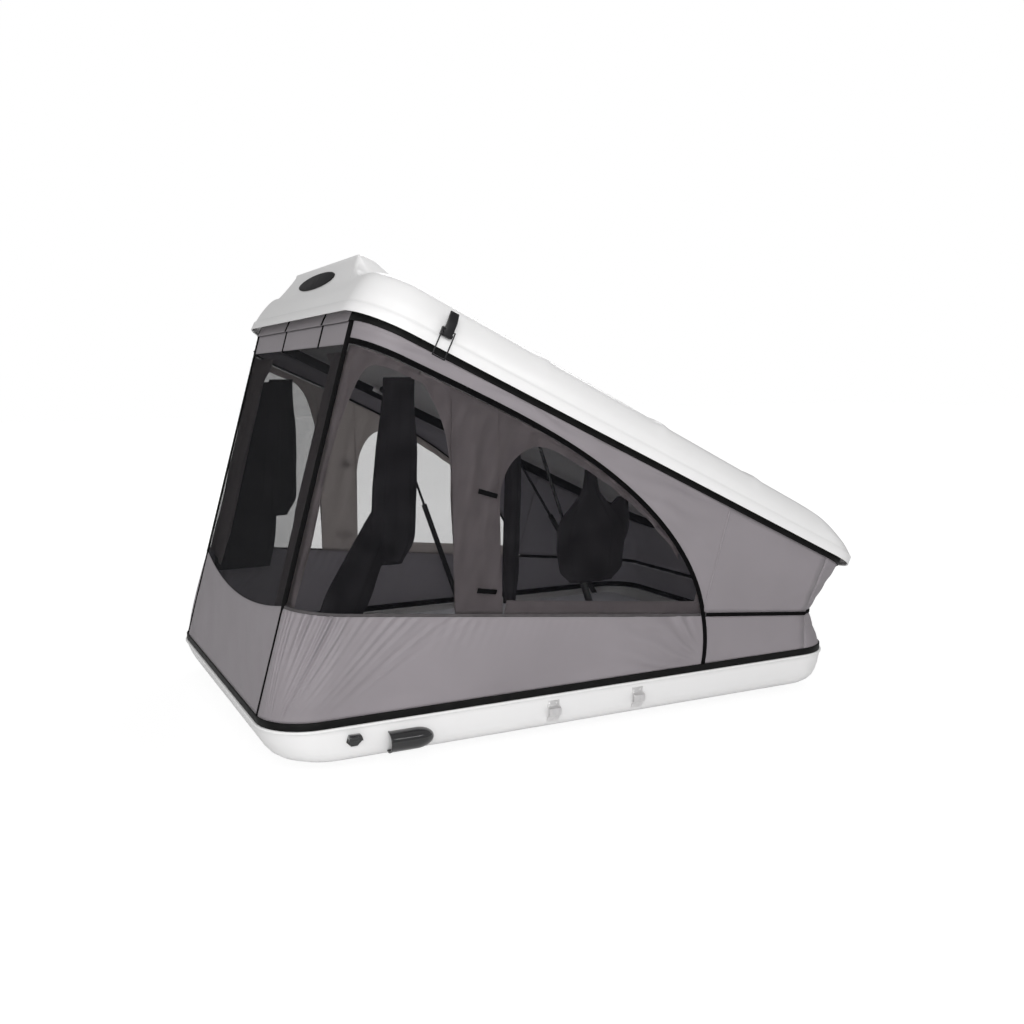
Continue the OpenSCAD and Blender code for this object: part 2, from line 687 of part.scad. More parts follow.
// A gathered drape hanging inside an opening: wavy rings that swell towards the foot.
// top and low are its ends, wide its half widths from top to foot, flat its depth over its width.
module drape(top, low, wide, folds, flat) {
    n = 28;
    levels = len(wide) - 1;
    wave = 0.16;
    twist = 30;
    loft([for (k = [0:levels]) let (c = mix(low, top, k / levels), r = wide[levels - k])
        [for (i = [0:n - 1])
            let (a = 360 * i / n, f = 1 + wave * cos(folds * a + twist * sin(180 * k / levels)))
            [c[0] + r * f * cos(a), c[1] + flat * r * f * sin(a), c[2]]]]);
}

// Ends of the drapes: distance from the rear rim, distance inside the side rim, height over the rim.
door_ends = [[410, 43.9, 960], [380, 60, 430]];
door_fold_ends = [[390, 60, 640], [190, 60, 230]];
curtain_ends = [[350, 88, 950], [228, 66, 235]];
window_ends = [[980, 34.5, 690], [1030, 50, 325]];
roll_ends = [[765, 42.5, 755], [745, 45, 285]];
// Their half widths from top to foot, and how deep they are over how wide.
door_widths = [44, 46, 50, 56, 60, 62, 62, 64, 59, 32];
door_fold_widths = [30, 42, 50, 56, 62, 66, 62, 50];
curtain_widths = [38, 48, 58, 68, 78, 88, 98, 104, 98];
window_widths = [20, 22, 26, 44, 76, 97, 104, 102, 97, 90, 62];
roll_widths = [20, 24, 25, 25, 25, 24, 20];
door_flat = 0.3;
curtain_flat = 0.08;
window_flat = 0.14;
roll_flat = 0.5;
function in_cabin(p) = [-half_l + p[0], -half_w + p[1], rim_z + p[2]];

// The near door's cover is pulled up in a fold, and the far one hangs on to the rear corner.
module door_gather() {
    drape(in_cabin(door_ends[0]), in_cabin(door_ends[1]), door_widths, 7, door_flat);
}

module near_door_drape() {
    door_gather();
    drape(in_cabin(door_fold_ends[0]), in_cabin(door_fold_ends[1]), door_fold_widths, 5, door_flat);
}

module far_door_drape() {
    door_gather();
    drape(in_cabin(curtain_ends[0]), in_cabin(curtain_ends[1]), curtain_widths, 9, curtain_flat);
}

module window_drape() {
    drape(in_cabin(window_ends[0]), in_cabin(window_ends[1]), window_widths, 6, window_flat);
    drape(in_cabin(roll_ends[0]), in_cabin(roll_ends[1]), roll_widths, 4, roll_flat);
}

// Lift struts. Each leans from a pivot on the base to one on the roof.
// A strut is drawn along +X from its base pivot, with its pins along Y.

front_base = [half_l - front_base_x, pivot_z];
rear_base = [half_l - rear_base_x, pivot_z];
function roof_pivot(u) = let (p = roof_point(lip_half_l - u, 0, roof_pivot_v)) [p[0], p[2]];
front_top = roof_pivot(front_roof_u);
rear_top = roof_pivot(rear_roof_u);
function lean(a, b) = atan2(b[1] - a[1], b[0] - a[0]);
bore_r = strut_r - 2;
piston_h = 12;

module at_strut(a, b) {
    translate([a[0], -strut_y, a[1]]) rotate([0, -lean(a, b), 0]) children();
}

module eye(r_hole) {
    rotate([90, 0, 0]) difference() {
        cylinder(r = eye_r, h = eye_w, center = true);
        cylinder(r = r_hole, h = eye_w + 2 * cut, center = true);
    }
}

module strut_cylinder(length) {
    wall_end = 10;
    eye(pin_r + run_gap);
    difference() {
        translate([eye_r - 3, 0, 0]) rotate([0, 90, 0]) cylinder(r = strut_r, h = length - eye_r + 3);
        rotate([90, 0, 0]) cylinder(r = eye_r - cut, h = 3 * eye_w, center = true);
        translate([2 * eye_r, 0, 0]) rotate([0, 90, 0]) {
            cylinder(r = bore_r, h = length - 2 * eye_r - wall_end);
            cylinder(r = rod_r + run_gap, h = length);
        }
    }
}

// The rod, drawn back from its own eye at the origin.
module strut_rod(length) {
    eye(pin_r + run_gap);
    difference() {
        translate([-length, 0, 0]) rotate([0, 90, 0]) cylinder(r = rod_r, h = length - eye_r + 2);
        rotate([90, 0, 0]) cylinder(r = eye_r - cut, h = 3 * eye_w, center = true);
    }
    translate([-length, 0, 0]) rotate([0, 90, 0]) cylinder(r = bore_r - run_gap, h = piston_h);
}

module front_cylinders() {
    color("dimgray") both_sides() at_strut(front_base, front_top) strut_cylinder(front_cyl_len);
}

module rear_cylinders() {
    color("dimgray") both_sides() at_strut(rear_base, rear_top) strut_cylinder(rear_cyl_len);
}

front_span = norm(front_top - front_base);
rear_span = norm(rear_top - rear_base);
rod_inside = 50;

module front_rods() {
    color("silver") both_sides() at_strut(front_base, front_top) translate([front_span, 0, 0])
        strut_rod(front_span - front_cyl_len + rod_inside);
}

module rear_rods() {
    color("silver") both_sides() at_strut(rear_base, rear_top) translate([rear_span, 0, 0])
        strut_rod(rear_span - rear_cyl_len + rod_inside);
}

// A headed pin along Y from a plate at y_plate in to past an eye at y_eye.
module stud(y_plate, y_eye) {
    head_h = 3;
    tip = y_eye - eye_w / 2 - 1;
    translate([0, -tip, 0]) rotate([90, 0, 0]) cylinder(r = pin_r, h = y_plate - tip);
    translate([0, -tip, 0]) rotate([-90, 0, 0]) cylinder(r = pin_r + 2, h = head_h);
}

module strut_base_studs() {
    plate_w = 44;
    plate_h = 40;
    plate_low = 14;
    plate_t = 5;
    wall_y = tray_side(pivot_drop + plate_low + tray_wall) - tray_wall - 3 * seat_gap;
    color("gray") both_sides() for (p = [front_base, rear_base]) translate([p[0], 0, pivot_z]) {
        translate([-plate_w / 2, -wall_y, -plate_low]) cube([plate_w, plate_t, plate_h]);
        stud(wall_y - plate_t, strut_y);
    }
}

// Brackets that hang from the roof's ledge and carry the upper studs.
module strut_roof_studs() {
    bracket_w = 50;
    plate_t = 4;
    plate_y = lip_half_w - ledge_in - 13;
    flange_y = lip_half_w - roof_wall - 8;
    flange_v = ledge_v + roof_wall;
    open_y = strut_y + eye_w / 2 + open_pivot_gap;
    color("gray") on_roof() both_sides() for (u = [front_roof_u, rear_roof_u])
        translate([lip_half_l - u, 0, 0]) {
        translate([-bracket_w / 2, -plate_y - plate_t, plate_t]) cube([bracket_w, plate_t, flange_v]);
        translate([-bracket_w / 2, -flange_y, flange_v]) cube([bracket_w, flange_y - plate_y, plate_t]);
        translate([0, 0, roof_pivot_v])
            if (u == front_roof_u) stud(plate_y, strut_y);
            else translate([0, -open_y, 0]) rotate([90, 0, 0]) cylinder(r = pin_r, h = plate_y - open_y);
    }
}

// Latches on the roof sides, keepers on the base. A latch is drawn in the roof's
// frame with y and v as the two axes of its section.

pin_y = lip_half_w + 11;
pin_v = 40;
bail_pin_y = lip_half_w + 16;
bail_pin_v = pin_v + 12;
ear_t = 3;
ear_gap = 0.5;
knuckle_r = 6;
latch_x = -lip_half_l + latch_u;

// Draws a section of [y outward, v] points, extruded along the roof by w.
module latch_section(points, w) {
    translate([latch_x + w / 2, 0, 0]) rotate([90, 0, -90]) linear_extrude(w) polygon(points);
}

module latch_rod(y, v, r, w) {
    translate([latch_x - w / 2, -y, v]) rotate([0, 90, 0]) cylinder(r = r, h = w);
}

side_low = risen(latch_x, roof_section[0][0] * roof_h);
side_high = risen(latch_x, roof_section[1][0] * roof_h);
function shell_side(v) = lip_half_w - mix(roof_section[0][2], roof_section[1][2],
    (v - side_low) / (side_high - side_low));

module latch_base() {
    low = lip_h + 5;
    high = pin_v + 20;
    out = lip_half_w + 2;
    full_w = lever_w + 2 * (ear_t + ear_gap);
    latch_section([[shell_side(low) + 2 * seat_gap, low], [out, low], [out, high],
        [shell_side(high) + 2 * seat_gap, high]], full_w);
    for (e = [-1, 1]) translate([e * (full_w - ear_t) / 2, 0, 0]) {
        latch_section([[out - 1, low], [pin_y, pin_v - knuckle_r], [pin_y, pin_v + knuckle_r],
            [out - 1, pin_v + knuckle_r + 2]], ear_t);
        latch_rod(pin_y, pin_v, knuckle_r, ear_t);
    }
    latch_rod(pin_y, pin_v, latch_pin_r, full_w);
}

module latch_bases() {
    color("black") on_roof() both_sides() latch_base();
}

module latch_lever() {
    difference() {
        union() {
            latch_rod(pin_y, pin_v, knuckle_r, lever_w);
            latch_section([[pin_y - 4, pin_v + 2], [pin_y + 6, pin_v], [bail_pin_y + 5, bail_pin_v],
                [bail_pin_y + 3, pin_v + lever_len * 0.6], [pin_y - 6, pin_v + lever_len],
                [pin_y - 12, pin_v + lever_len],
                [pin_y - 5, pin_v + lever_len * 0.5]], lever_w);
        }
        latch_rod(pin_y, pin_v, latch_pin_r + run_gap, lever_w + 2 * cut);
        latch_rod(bail_pin_y, bail_pin_v, bail_r + run_gap, lever_w + 2 * cut);
    }
}

module latch_bail() {
    leg = lever_w / 2 + ear_gap + ear_t + 1 + bail_r;
    low = pin_v - bail_len;
    latch_rod(bail_pin_y, bail_pin_v, bail_r, 2 * leg);
    latch_rod(bail_pin_y, low, bail_r, 2 * leg);
    for (e = [-1, 1]) translate([latch_x + e * leg, -bail_pin_y, low]) {
        cylinder(r = bail_r, h = bail_pin_v - low);
        sphere(r = bail_r);
        translate([0, 0, bail_pin_v - low]) sphere(r = bail_r);
    }
}

module on_latch(left) {
    on_roof() on_side(left) children();
}

// A keeper is a hood with a hook below its front edge.
module keeper() {
    top = rim_z - 24;
    hook = 10;
    back = half_w + seat_gap;
    front = half_w + keeper_out;
    intersection() {
        translate([latch_x + keeper_w / 2, 0, 0]) rotate([90, 0, -90]) linear_extrude(keeper_w)
            polygon([[back, top], [front - 5, top], [front, top - 4], [front, top - hook - 6],
                [front - 4, top - hook - 6], [front - 5, top - hook], [back + 6, top - hook],
                [back + 4, top - keeper_h], [back, top - keeper_h]]);
        translate([latch_x, -half_w + cut, top - keeper_h]) rotate([90, 0, 0])
            linear_extrude(keeper_out + 2 * cut) polygon([[-keeper_w * 0.2, 0], [keeper_w * 0.2, 0],
                [keeper_w / 2, keeper_h * 0.4], [keeper_w * 0.36, keeper_h], [-keeper_w * 0.36, keeper_h],
                [-keeper_w / 2, keeper_h * 0.4]]);
    }
}

module latch_keepers() {
    color("black") both_sides() keeper();
}

// Fittings on the tray's side

cowl_z = rim_z - 64;
nose = 1.8;
function bullet(r, length) = concat([[0, 0], [0, length]],
    [for (a = [82.5:-7.5:0]) [r * cos(a), length - nose * r * (1 - sin(a))]], [[r, 0]]);

module bullet_solid(r, length) {
    rotate([0, 90, 0]) rotate_extrude() polygon(bullet(r, length));
}

module vent_cowl() {
    lip = 4;
    color("black") difference() {
        translate([cowl_mouth, -half_w, cowl_z]) difference() {
            union() {
                bullet_solid(cowl_r, cowl_len);
                rotate([0, 90, 0]) cylinder(r = cowl_r + 1, h = lip);
            }
            translate([-cut, 0, 0]) bullet_solid(cowl_r - cowl_wall, cowl_len - cowl_wall);
        }
        tray_outside();
    }
}

module vent_screen() {
    depth = 16;
    bar = 3;
    color("black") difference() {
        translate([cowl_mouth + depth, -half_w, cowl_z]) rotate([0, 90, 0]) difference() {
            cylinder(r = cowl_r - cowl_wall, h = 2);
            for (k = [-3:3]) translate([k * 7 - 2, -cowl_r, -cut]) cube([4, cowl_r - bar, 2 + 2 * cut]);
        }
        tray_outside();
    }
}

loop_top = 19;
loop_low = 85;
loop_flange = 18;
function tray_side(drop) = half_w - lookup(drop, [for (k = [len(tray_section) - 1:-1:0])
    [tray_section[k][0] * tray_depth, tray_section[k][2]]]);

module saddle_loop() {
    a = tray_side(loop_top) + seat_gap;
    b = tray_side(loop_low) + seat_gap;
    in_top = loop_top + loop_flange;
    in_low = loop_low - loop_flange;
    mid = half_w + loop_out;
    base = half_w + seat_gap;
    translate([loop_w / 2, 0, rim_z]) rotate([90, 0, -90]) linear_extrude(loop_w)
        polygon([[a, -loop_top], [a + loop_t, -loop_top], [base + loop_t, -in_top + loop_t],
            [mid, -in_top - 4], [mid, -in_low + 4], [base + loop_t, -in_low - loop_t],
            [b + loop_t, -loop_low], [b, -loop_low], [base, -in_low], [mid - loop_t, -in_low + 6],
            [mid - loop_t, -in_top - 6], [base, -in_top]]);
}

function saddle_places() = [loop_x, loop_x + loop_spacing];

module saddle_loops() {
    color("silver") both_sides() for (x = saddle_places()) translate([x, 0, 0]) saddle_loop();
}

module saddle_screws() {
    color("gray") both_sides() for (x = saddle_places()) for (e = [-1, 1])
        translate([x + e * loop_w * 0.3, -half_w - seat_gap - loop_t, rim_z - loop_top - loop_flange / 2])
            rotate([90, 0, 0]) cylinder(r = 4, h = 2);
}

base_tray();
base_edge_band();
mounting_rails();
rail_rivets();
floor_battens();
floor_panel();
mattress();
vent_cowl();
vent_screen();
saddle_loops();
saddle_screws();
latch_keepers();
strut_base_studs();
roof_shell();
roof_seal();
roof_liner();
name_plate();
latch_bases();
strut_roof_studs();
front_cylinders();
front_rods();
rear_cylinders();
rear_rods();
color("dimgray") on_latch(false) latch_lever();  // right_latch_lever
color("dimgray") on_latch(true) latch_lever();  // left_latch_lever
color("silver") on_latch(false) latch_bail();  // right_latch_bail
color("silver") on_latch(true) latch_bail();  // left_latch_bail
rear_skirt();
rear_net();
rear_header();
rear_header_straps();
corner_strips();
color("darkgray") on_side(false) skirt();  // right_skirt
color("darkgray") on_side(true) skirt();  // left_skirt
color("darkgray") on_side(false) header();  // right_header
color("darkgray") on_side(true) header();  // left_header
color("dimgray") on_side(false) net();  // right_net
color("dimgray") on_side(true) net();  // left_net
color("gray") on_side(false) inner_wall();  // right_inner_wall
color("gray") on_side(true) inner_wall();  // left_inner_wall
color("black") on_side(false) zip();  // right_zip
color("black") on_side(true) zip();  // left_zip
color("black") both_sides() tabs();  // side_tabs
front_wall_lower();
front_wall_upper();
front_piping();
color("dimgray") on_side(false) near_door_drape();  // right_door_drape
color("dimgray") on_side(true) far_door_drape();  // left_door_drape
color("dimgray") on_side(false) window_drape();  // right_window_drape
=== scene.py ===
import math

import bpy
from mathutils import Matrix, Vector, noise


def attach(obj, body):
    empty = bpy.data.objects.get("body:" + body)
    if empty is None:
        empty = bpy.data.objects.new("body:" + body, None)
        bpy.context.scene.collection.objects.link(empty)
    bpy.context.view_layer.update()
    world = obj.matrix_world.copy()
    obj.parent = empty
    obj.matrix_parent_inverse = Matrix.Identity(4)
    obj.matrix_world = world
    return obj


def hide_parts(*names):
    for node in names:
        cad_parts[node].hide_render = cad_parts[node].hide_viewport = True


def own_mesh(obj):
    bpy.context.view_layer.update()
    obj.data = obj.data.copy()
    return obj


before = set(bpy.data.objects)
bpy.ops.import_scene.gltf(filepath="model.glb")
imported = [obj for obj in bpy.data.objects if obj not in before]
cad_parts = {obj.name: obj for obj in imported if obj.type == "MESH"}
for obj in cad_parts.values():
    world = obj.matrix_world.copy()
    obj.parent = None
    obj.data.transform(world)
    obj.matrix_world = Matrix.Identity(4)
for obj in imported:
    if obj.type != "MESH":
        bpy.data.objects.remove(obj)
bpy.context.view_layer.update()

scene = bpy.context.scene
scene.view_settings.view_transform = "Standard"

# Camera
# It stands off the rear right corner of the open tent, a little above the bed,
# and was fitted to the rim, the roof's lip and the side fittings.
azimuth, elevation, roll = (math.radians(a) for a in (-26.22, 7.06, -0.55))
back = Vector((math.sin(azimuth) * math.cos(elevation), -math.cos(azimuth) * math.cos(elevation),
               math.sin(elevation)))
right = (-back).cross(Vector((0, 0, 1))).normalized()
up = right.cross(-back)
turned_right = right * math.cos(roll) + up * math.sin(roll)
turned_up = up * math.cos(roll) - right * math.sin(roll)
place = Matrix((turned_right, turned_up, back)).transposed().to_4x4()
place.translation = Vector((-1.63, -3.471, 1.084))
camera_data = bpy.data.cameras.new("camera")
camera_data.sensor_width = 36.0
camera_data.lens = 37.54
camera_data.clip_end = 200.0
camera = bpy.data.objects.new("camera", camera_data)
camera.matrix_world = place
scene.collection.objects.link(camera)
scene.camera = camera


# Studio
# A wide pale floor, a white surround, three large soft lamps, and a narrow strip that
# draws a line of light along the vent cowl. The surround and the floor show white to
# the camera, and light the tent more gently.
def shader_node(tree, kind, values=None, **settings):
    """A new node with its settings and its input values."""
    made = tree.nodes.new("ShaderNode" + kind)
    for key, value in settings.items():
        setattr(made, key, value)
    for key, value in (values or {}).items():
        made.inputs[key].default_value = value
    return made


def seen(tree):
    """1 for a ray from the camera, 0 for the light that falls on the tent."""
    return shader_node(tree, "LightPath").outputs["Is Camera Ray"]


AMBIENT, FLOOR_GLOW = 0.42, 0.82
world = bpy.data.worlds.new("studio")
scene.world = world
world.use_nodes = True
sky = world.node_tree
surround = sky.nodes["Background"]
surround.inputs["Color"].default_value = (1.0, 1.0, 1.0, 1.0)
level = shader_node(sky, "MapRange", {"To Min": AMBIENT, "To Max": 1.0})
sky.links.new(seen(sky), level.inputs["Value"])
sky.links.new(level.outputs["Result"], surround.inputs["Strength"])

bpy.ops.object.select_all(action="DESELECT")
bpy.ops.mesh.primitive_plane_add(size=60.0, location=(0, 0, -0.0005))
floor = bpy.context.object
floor.name = "floor"
floor_paint = bpy.data.materials.new("pale_floor")
floor_paint.use_nodes = True
tree = floor_paint.node_tree
paint = tree.nodes["Principled BSDF"]
paint.inputs["Base Color"].default_value = (0.9, 0.9, 0.9, 1.0)
paint.inputs["Roughness"].default_value = 0.9
distance = shader_node(tree, "VectorMath", operation="LENGTH")
far = shader_node(tree, "MapRange", {"From Min": 2.0, "From Max": 5.0, "To Min": 1.1, "To Max": 1.24})
glow = shader_node(tree, "Emission")
share = shader_node(tree, "Math", {1: FLOOR_GLOW}, operation="MULTIPLY")
mix = shader_node(tree, "MixShader")
for output, target in (
        (shader_node(tree, "TexCoord").outputs["Object"], distance.inputs[0]),
        (distance.outputs["Value"], far.inputs["Value"]),
        (far.outputs["Result"], glow.inputs["Strength"]),
        (seen(tree), share.inputs[0]),
        (share.outputs[0], mix.inputs["Fac"]),
        (paint.outputs["BSDF"], mix.inputs[1]),
        (glow.outputs["Emission"], mix.inputs[2]),
        (mix.outputs["Shader"], tree.nodes["Material Output"].inputs["Surface"])):
    tree.links.new(output, target)
floor.data.materials.append(floor_paint)

for name, spot, aim, length, width, power in (
        ("key_lamp", (-2.0, -5.2, 2.6), (0.0, 0.0, 0.5), 3.4, 3.4, 164.0),
        ("rear_lamp", (-5.0, -2.6, 1.8), (0.0, 0.0, 0.5), 3.2, 3.2, 30.0),
        ("back_lamp", (2.8, 4.0, 4.0), (0.0, 0.0, 0.6), 3.6, 3.6, 90.0),
        ("strip_lamp", (1.6, -4.6, 2.35), (-0.6, -0.73, 0.1), 2.4, 0.07, 9.0)):
    lamp_data = bpy.data.lights.new(name, "AREA")
    lamp_data.shape = "RECTANGLE"
    lamp_data.size, lamp_data.size_y, lamp_data.energy = length, width, power
    lamp = bpy.data.objects.new(name, lamp_data)
    lamp.location = spot
    lamp.rotation_euler = (Vector(aim) - Vector(spot)).to_track_quat("-Z", "Y").to_euler()
    scene.collection.objects.link(lamp)


# Base tray
# A moulded glass fibre tray with a white gel coat. Its rear end is raked and its
# rim carries a thin flange.
def sockets(made):
    return made.node_tree.nodes["Principled BSDF"].inputs


def material(name, colour, roughness, values=None):
    """A new material with its even values on the shader's own sockets."""
    made = bpy.data.materials.new(name)
    made.use_nodes = True
    for key, value in {"Base Color": (*colour, 1.0), "Roughness": roughness, **(values or {})}.items():
        sockets(made)[key].default_value = value
    return made


def soft_noise(made, scale, detail=3.0, space="Object", stretch=None):
    """A noise texture over the piece's own coordinates, stretched along an axis when asked."""
    tree = made.node_tree
    where = shader_node(tree, "TexCoord").outputs[space]
    if stretch:
        turn = shader_node(tree, "Mapping", {"Scale": stretch})
        tree.links.new(where, turn.inputs["Vector"])
        where = turn.outputs["Vector"]
    texture = shader_node(tree, "TexNoise", {"Scale": scale, "Detail": detail})
    tree.links.new(where, texture.inputs["Vector"])
    return texture.outputs["Fac"]


def tone_drift(made, light, scale, space="Object", stretch=None):
    """Lets the colour drift from the material's own tone to a lighter one."""
    tree = made.node_tree
    ramp = shader_node(tree, "ValToRGB")
    own = tuple(sockets(made)["Base Color"].default_value)
    for stop, position, tone in zip(ramp.color_ramp.elements, (0.3, 0.7), (own, (*light, 1.0))):
        stop.position = position
        stop.color = tone
    tree.links.new(soft_noise(made, scale, 4.0, space, stretch), ramp.inputs["Fac"])
    tree.links.new(ramp.outputs["Color"], sockets(made)["Base Color"])


def gloss_drift(made, high, scale):
    """Lets the roughness drift up from its own value, as handling and dust leave it."""
    tree = made.node_tree
    spread = shader_node(tree, "MapRange", {"To Min": sockets(made)["Roughness"].default_value, "To Max": high})
    tree.links.new(soft_noise(made, scale), spread.inputs["Value"])
    tree.links.new(spread.outputs["Result"], sockets(made)["Roughness"])


def relief(made, height, strength, depth):
    """Adds a bump from a height to what the shader's normal already has."""
    tree, normal = made.node_tree, sockets(made)["Normal"]
    bump = shader_node(tree, "Bump", {"Strength": strength, "Distance": depth})
    if normal.is_linked:
        tree.links.new(normal.links[0].from_socket, bump.inputs["Normal"])
    tree.links.new(height, bump.inputs["Height"])
    tree.links.new(bump.outputs["Normal"], normal)


def grain(made, scale, strength, depth, detail=2.0, space="Object", stretch=None):
    """A fine relief all over a piece."""
    relief(made, soft_noise(made, scale, detail, space, stretch), strength, depth)


gel_coat = material("white_gel_coat", (0.822, 0.817, 0.817), 0.26, {"Coat Weight": 0.2, "Coat Roughness": 0.12})
tone_drift(gel_coat, (0.834, 0.829, 0.828), 6.0)
gloss_drift(gel_coat, 0.32, 40.0)
grain(gel_coat, 160.0, 0.05, 0.0006)


def only(piece):
    """Selects one piece and nothing else."""
    bpy.ops.object.select_all(action="DESELECT")
    piece.select_set(True)
    bpy.context.view_layer.objects.active = piece


def apply_modifier(piece, kind, **values):
    only(piece)
    made = piece.modifiers.new(kind.lower(), kind)
    for key, value in values.items():
        setattr(made, key, value)
    bpy.ops.object.modifier_apply(modifier=made.name)


def merge(piece, gap, then=None, **values):
    """Merges a piece's doubles, then runs one more mesh operator over all of it."""
    only(piece)
    bpy.ops.object.mode_set(mode="EDIT")
    bpy.ops.mesh.select_all(action="SELECT")
    bpy.ops.mesh.remove_doubles(threshold=gap)
    if then:
        then(**values)
    bpy.ops.object.mode_set(mode="OBJECT")


def dressed(node, name, body, finish, smooth=35.0, edge=0.0):
    """A merged copy of a CAD node with smooth shading and eased edges, riding on the node's body."""
    piece = bpy.data.objects.new(name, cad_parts[node].data.copy())
    scene.collection.objects.link(piece)
    piece.data.materials.clear()
    merge(piece, 0.00002, bpy.ops.mesh.dissolve_limited, angle_limit=math.radians(0.5))
    if edge:
        apply_modifier(piece, "BEVEL", width=edge, segments=2, limit_method="ANGLE",
                       angle_limit=math.radians(40), use_clamp_overlap=True)
    only(piece)
    bpy.ops.object.shade_smooth_by_angle(angle=math.radians(smooth))
    piece.data.materials.append(finish)
    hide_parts(node)
    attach(piece, body)


dressed("base_tray", "tray_moulding", "base", gel_coat, 38.0, 0.0015)

# Rim band
# An extruded black rubber profile that lies along the tray's rim and clamps the foot
# of the canvas to it.
rubber = material("black_rubber", (0.003, 0.003, 0.003), 0.42, {"Specular IOR Level": 0.14})
tone_drift(rubber, (0.006, 0.006, 0.006), 30.0)
gloss_drift(rubber, 0.65, 25.0)
grain(rubber, 700.0, 0.15, 0.0004)
dressed("base_edge_band", "rim_band", "base", rubber, 38.0, 0.002)

# Rails under the tray
# Two folded aluminium rails, riveted on through their flanges, that take the
# bolts of a roof rack.
rail_metal = material("mill_aluminium", (0.54, 0.54, 0.56), 0.42, {"Metallic": 1.0})
tone_drift(rail_metal, (0.62, 0.62, 0.64), 12.0, stretch=(0.15, 3.0, 3.0))
grain(rail_metal, 300.0, 0.12, 0.0003, stretch=(0.03, 3.0, 3.0))
dressed("mounting_rails", "rack_rails", "base", rail_metal, 30.0, 0.0006)

steel = material("satin_steel", (0.80, 0.79, 0.79), 0.24, {"Metallic": 1.0})
tone_drift(steel, (0.92, 0.91, 0.91), 60.0)
gloss_drift(steel, 0.4, 90.0)
grain(steel, 900.0, 0.1, 0.0002, stretch=(0.1, 4.0, 4.0))
dressed("rail_rivets", "rail_rivet_heads", "base", steel, edge=0.0005)

# Floor
# A birch plywood board on three sawn battens, laid in the tray under the
# mattress.
plywood = material("birch_plywood", (0.42, 0.29, 0.16), 0.6)
tone_drift(plywood, (0.58, 0.43, 0.27), 9.0, stretch=(1.0, 14.0, 14.0))
grain(plywood, 90.0, 0.2, 0.0005, 4.0, stretch=(0.1, 3.0, 3.0))
dressed("floor_battens", "floor_batten_set", "base", plywood, 30.0, 0.001)
dressed("floor_panel", "floor_board", "base", plywood, 30.0, 0.001)


# Mattress
# A foam mattress in a grey woven cover, crowned along the middle, with channels
# sewn across it and a rounded edge. It lies on the floor board.
def ring(x0, x1, half_width, radius, z, corner=10, along=1, across=1):
    """A rounded rectangle at height z, counter-clockwise from above, with its straight edges divided."""
    points = []
    corners = ((x1 - radius, half_width - radius, 0), (x0 + radius, half_width - radius, 90),
               (x0 + radius, radius - half_width, 180), (x1 - radius, radius - half_width, 270))
    for k, (cx, cy, start) in enumerate(corners):
        arc = [(cx + radius * math.cos(math.radians(start + 90 * i / corner)),
                cy + radius * math.sin(math.radians(start + 90 * i / corner))) for i in range(corner + 1)]
        points += arc
        nx, ny, turn = corners[(k + 1) % 4]
        end = (nx + radius * math.cos(math.radians(turn)), ny + radius * math.sin(math.radians(turn)))
        (x, y), parts = arc[-1], (along, across)[k % 2]
        points += [(x + (end[0] - x) * i / parts, y + (end[1] - y) * i / parts) for i in range(1, parts)]
    return [(x, y, z) for x, y in points]


def loft_faces(count, rings):
    """Quads between rings of equally many points, facing out when the rings rise."""
    return [(k * count + i, k * count + (i + 1) % count, (k + 1) * count + (i + 1) % count, (k + 1) * count + i)
            for k in range(rings - 1) for i in range(count)]


def mesh_piece(name, verts, faces, finish, smooth=None):
    mesh = bpy.data.meshes.new(name)
    mesh.from_pydata(verts, [], faces)
    mesh.update()
    piece = bpy.data.objects.new(name, mesh)
    scene.collection.objects.link(piece)
    mesh.materials.append(finish)
    only(piece)
    if smooth is None:
        bpy.ops.object.shade_smooth()
    else:
        bpy.ops.object.shade_smooth_by_angle(angle=math.radians(smooth))
    return piece


def threads(made, pitch, joint, distortion=0.0, space="UV"):
    """The height of a cloth's crossing threads, at a pitch in metres."""
    tree = made.node_tree
    where = shader_node(tree, "TexCoord").outputs[space]
    total = shader_node(tree, "Math", operation=joint)
    for k, axis in enumerate("XY"):
        thread = shader_node(tree, "TexWave", {"Scale": math.pi / 10 / pitch, "Distortion": distortion},
                             bands_direction=axis)
        tree.links.new(where, thread.inputs["Vector"])
        tree.links.new(thread.outputs["Fac"], total.inputs[k])
    return total.outputs[0]


def weave(made, pitch, strength, depth, space="UV"):
    """The relief of a woven cloth."""
    relief(made, threads(made, pitch, "ADD", 0.6, space), strength, depth)


bed_cover = material("grey_bed_cover", (0.86, 0.86, 0.92), 0.9, {"Sheen Weight": 0.3})
tone_drift(bed_cover, (0.93, 0.93, 0.98), 14.0)
weave(bed_cover, 0.0016, 0.25, 0.0004, "Object")
BED_LOW, BED_HALF_L, BED_HALF_W, BED_R, BED_THICK = 0.071, 0.870, 0.592, 0.05, 0.064
BED_CROWN, BED_CHANNEL, BED_CHANNELS, BED_END, TOP_IN, TOP_DRAW = 0.014, 0.008, 5, 0.06, 0.02, 1.4


def bed_ring(inset, z):
    return ring(-BED_HALF_L + inset, BED_HALF_L - inset, BED_HALF_W - inset, BED_R, BED_LOW + z, 6, 90, 40)


def bed_top(x, y):
    """Height of the mattress top over its edge, with the crown and the sewn channels."""
    fade = max(0.0, 1 - abs(y / BED_HALF_W) ** 8)
    crown = BED_CROWN * max(0.0, 1 - abs(x / BED_HALF_L) ** 8) * fade
    phase = math.pi * (x / (2 * BED_HALF_L) + 0.5) * (BED_CHANNELS + 1)
    channel = BED_CHANNEL * abs(math.cos(phase)) ** 14 if abs(x) < BED_HALF_L - BED_END else 0.0
    return crown - channel * fade


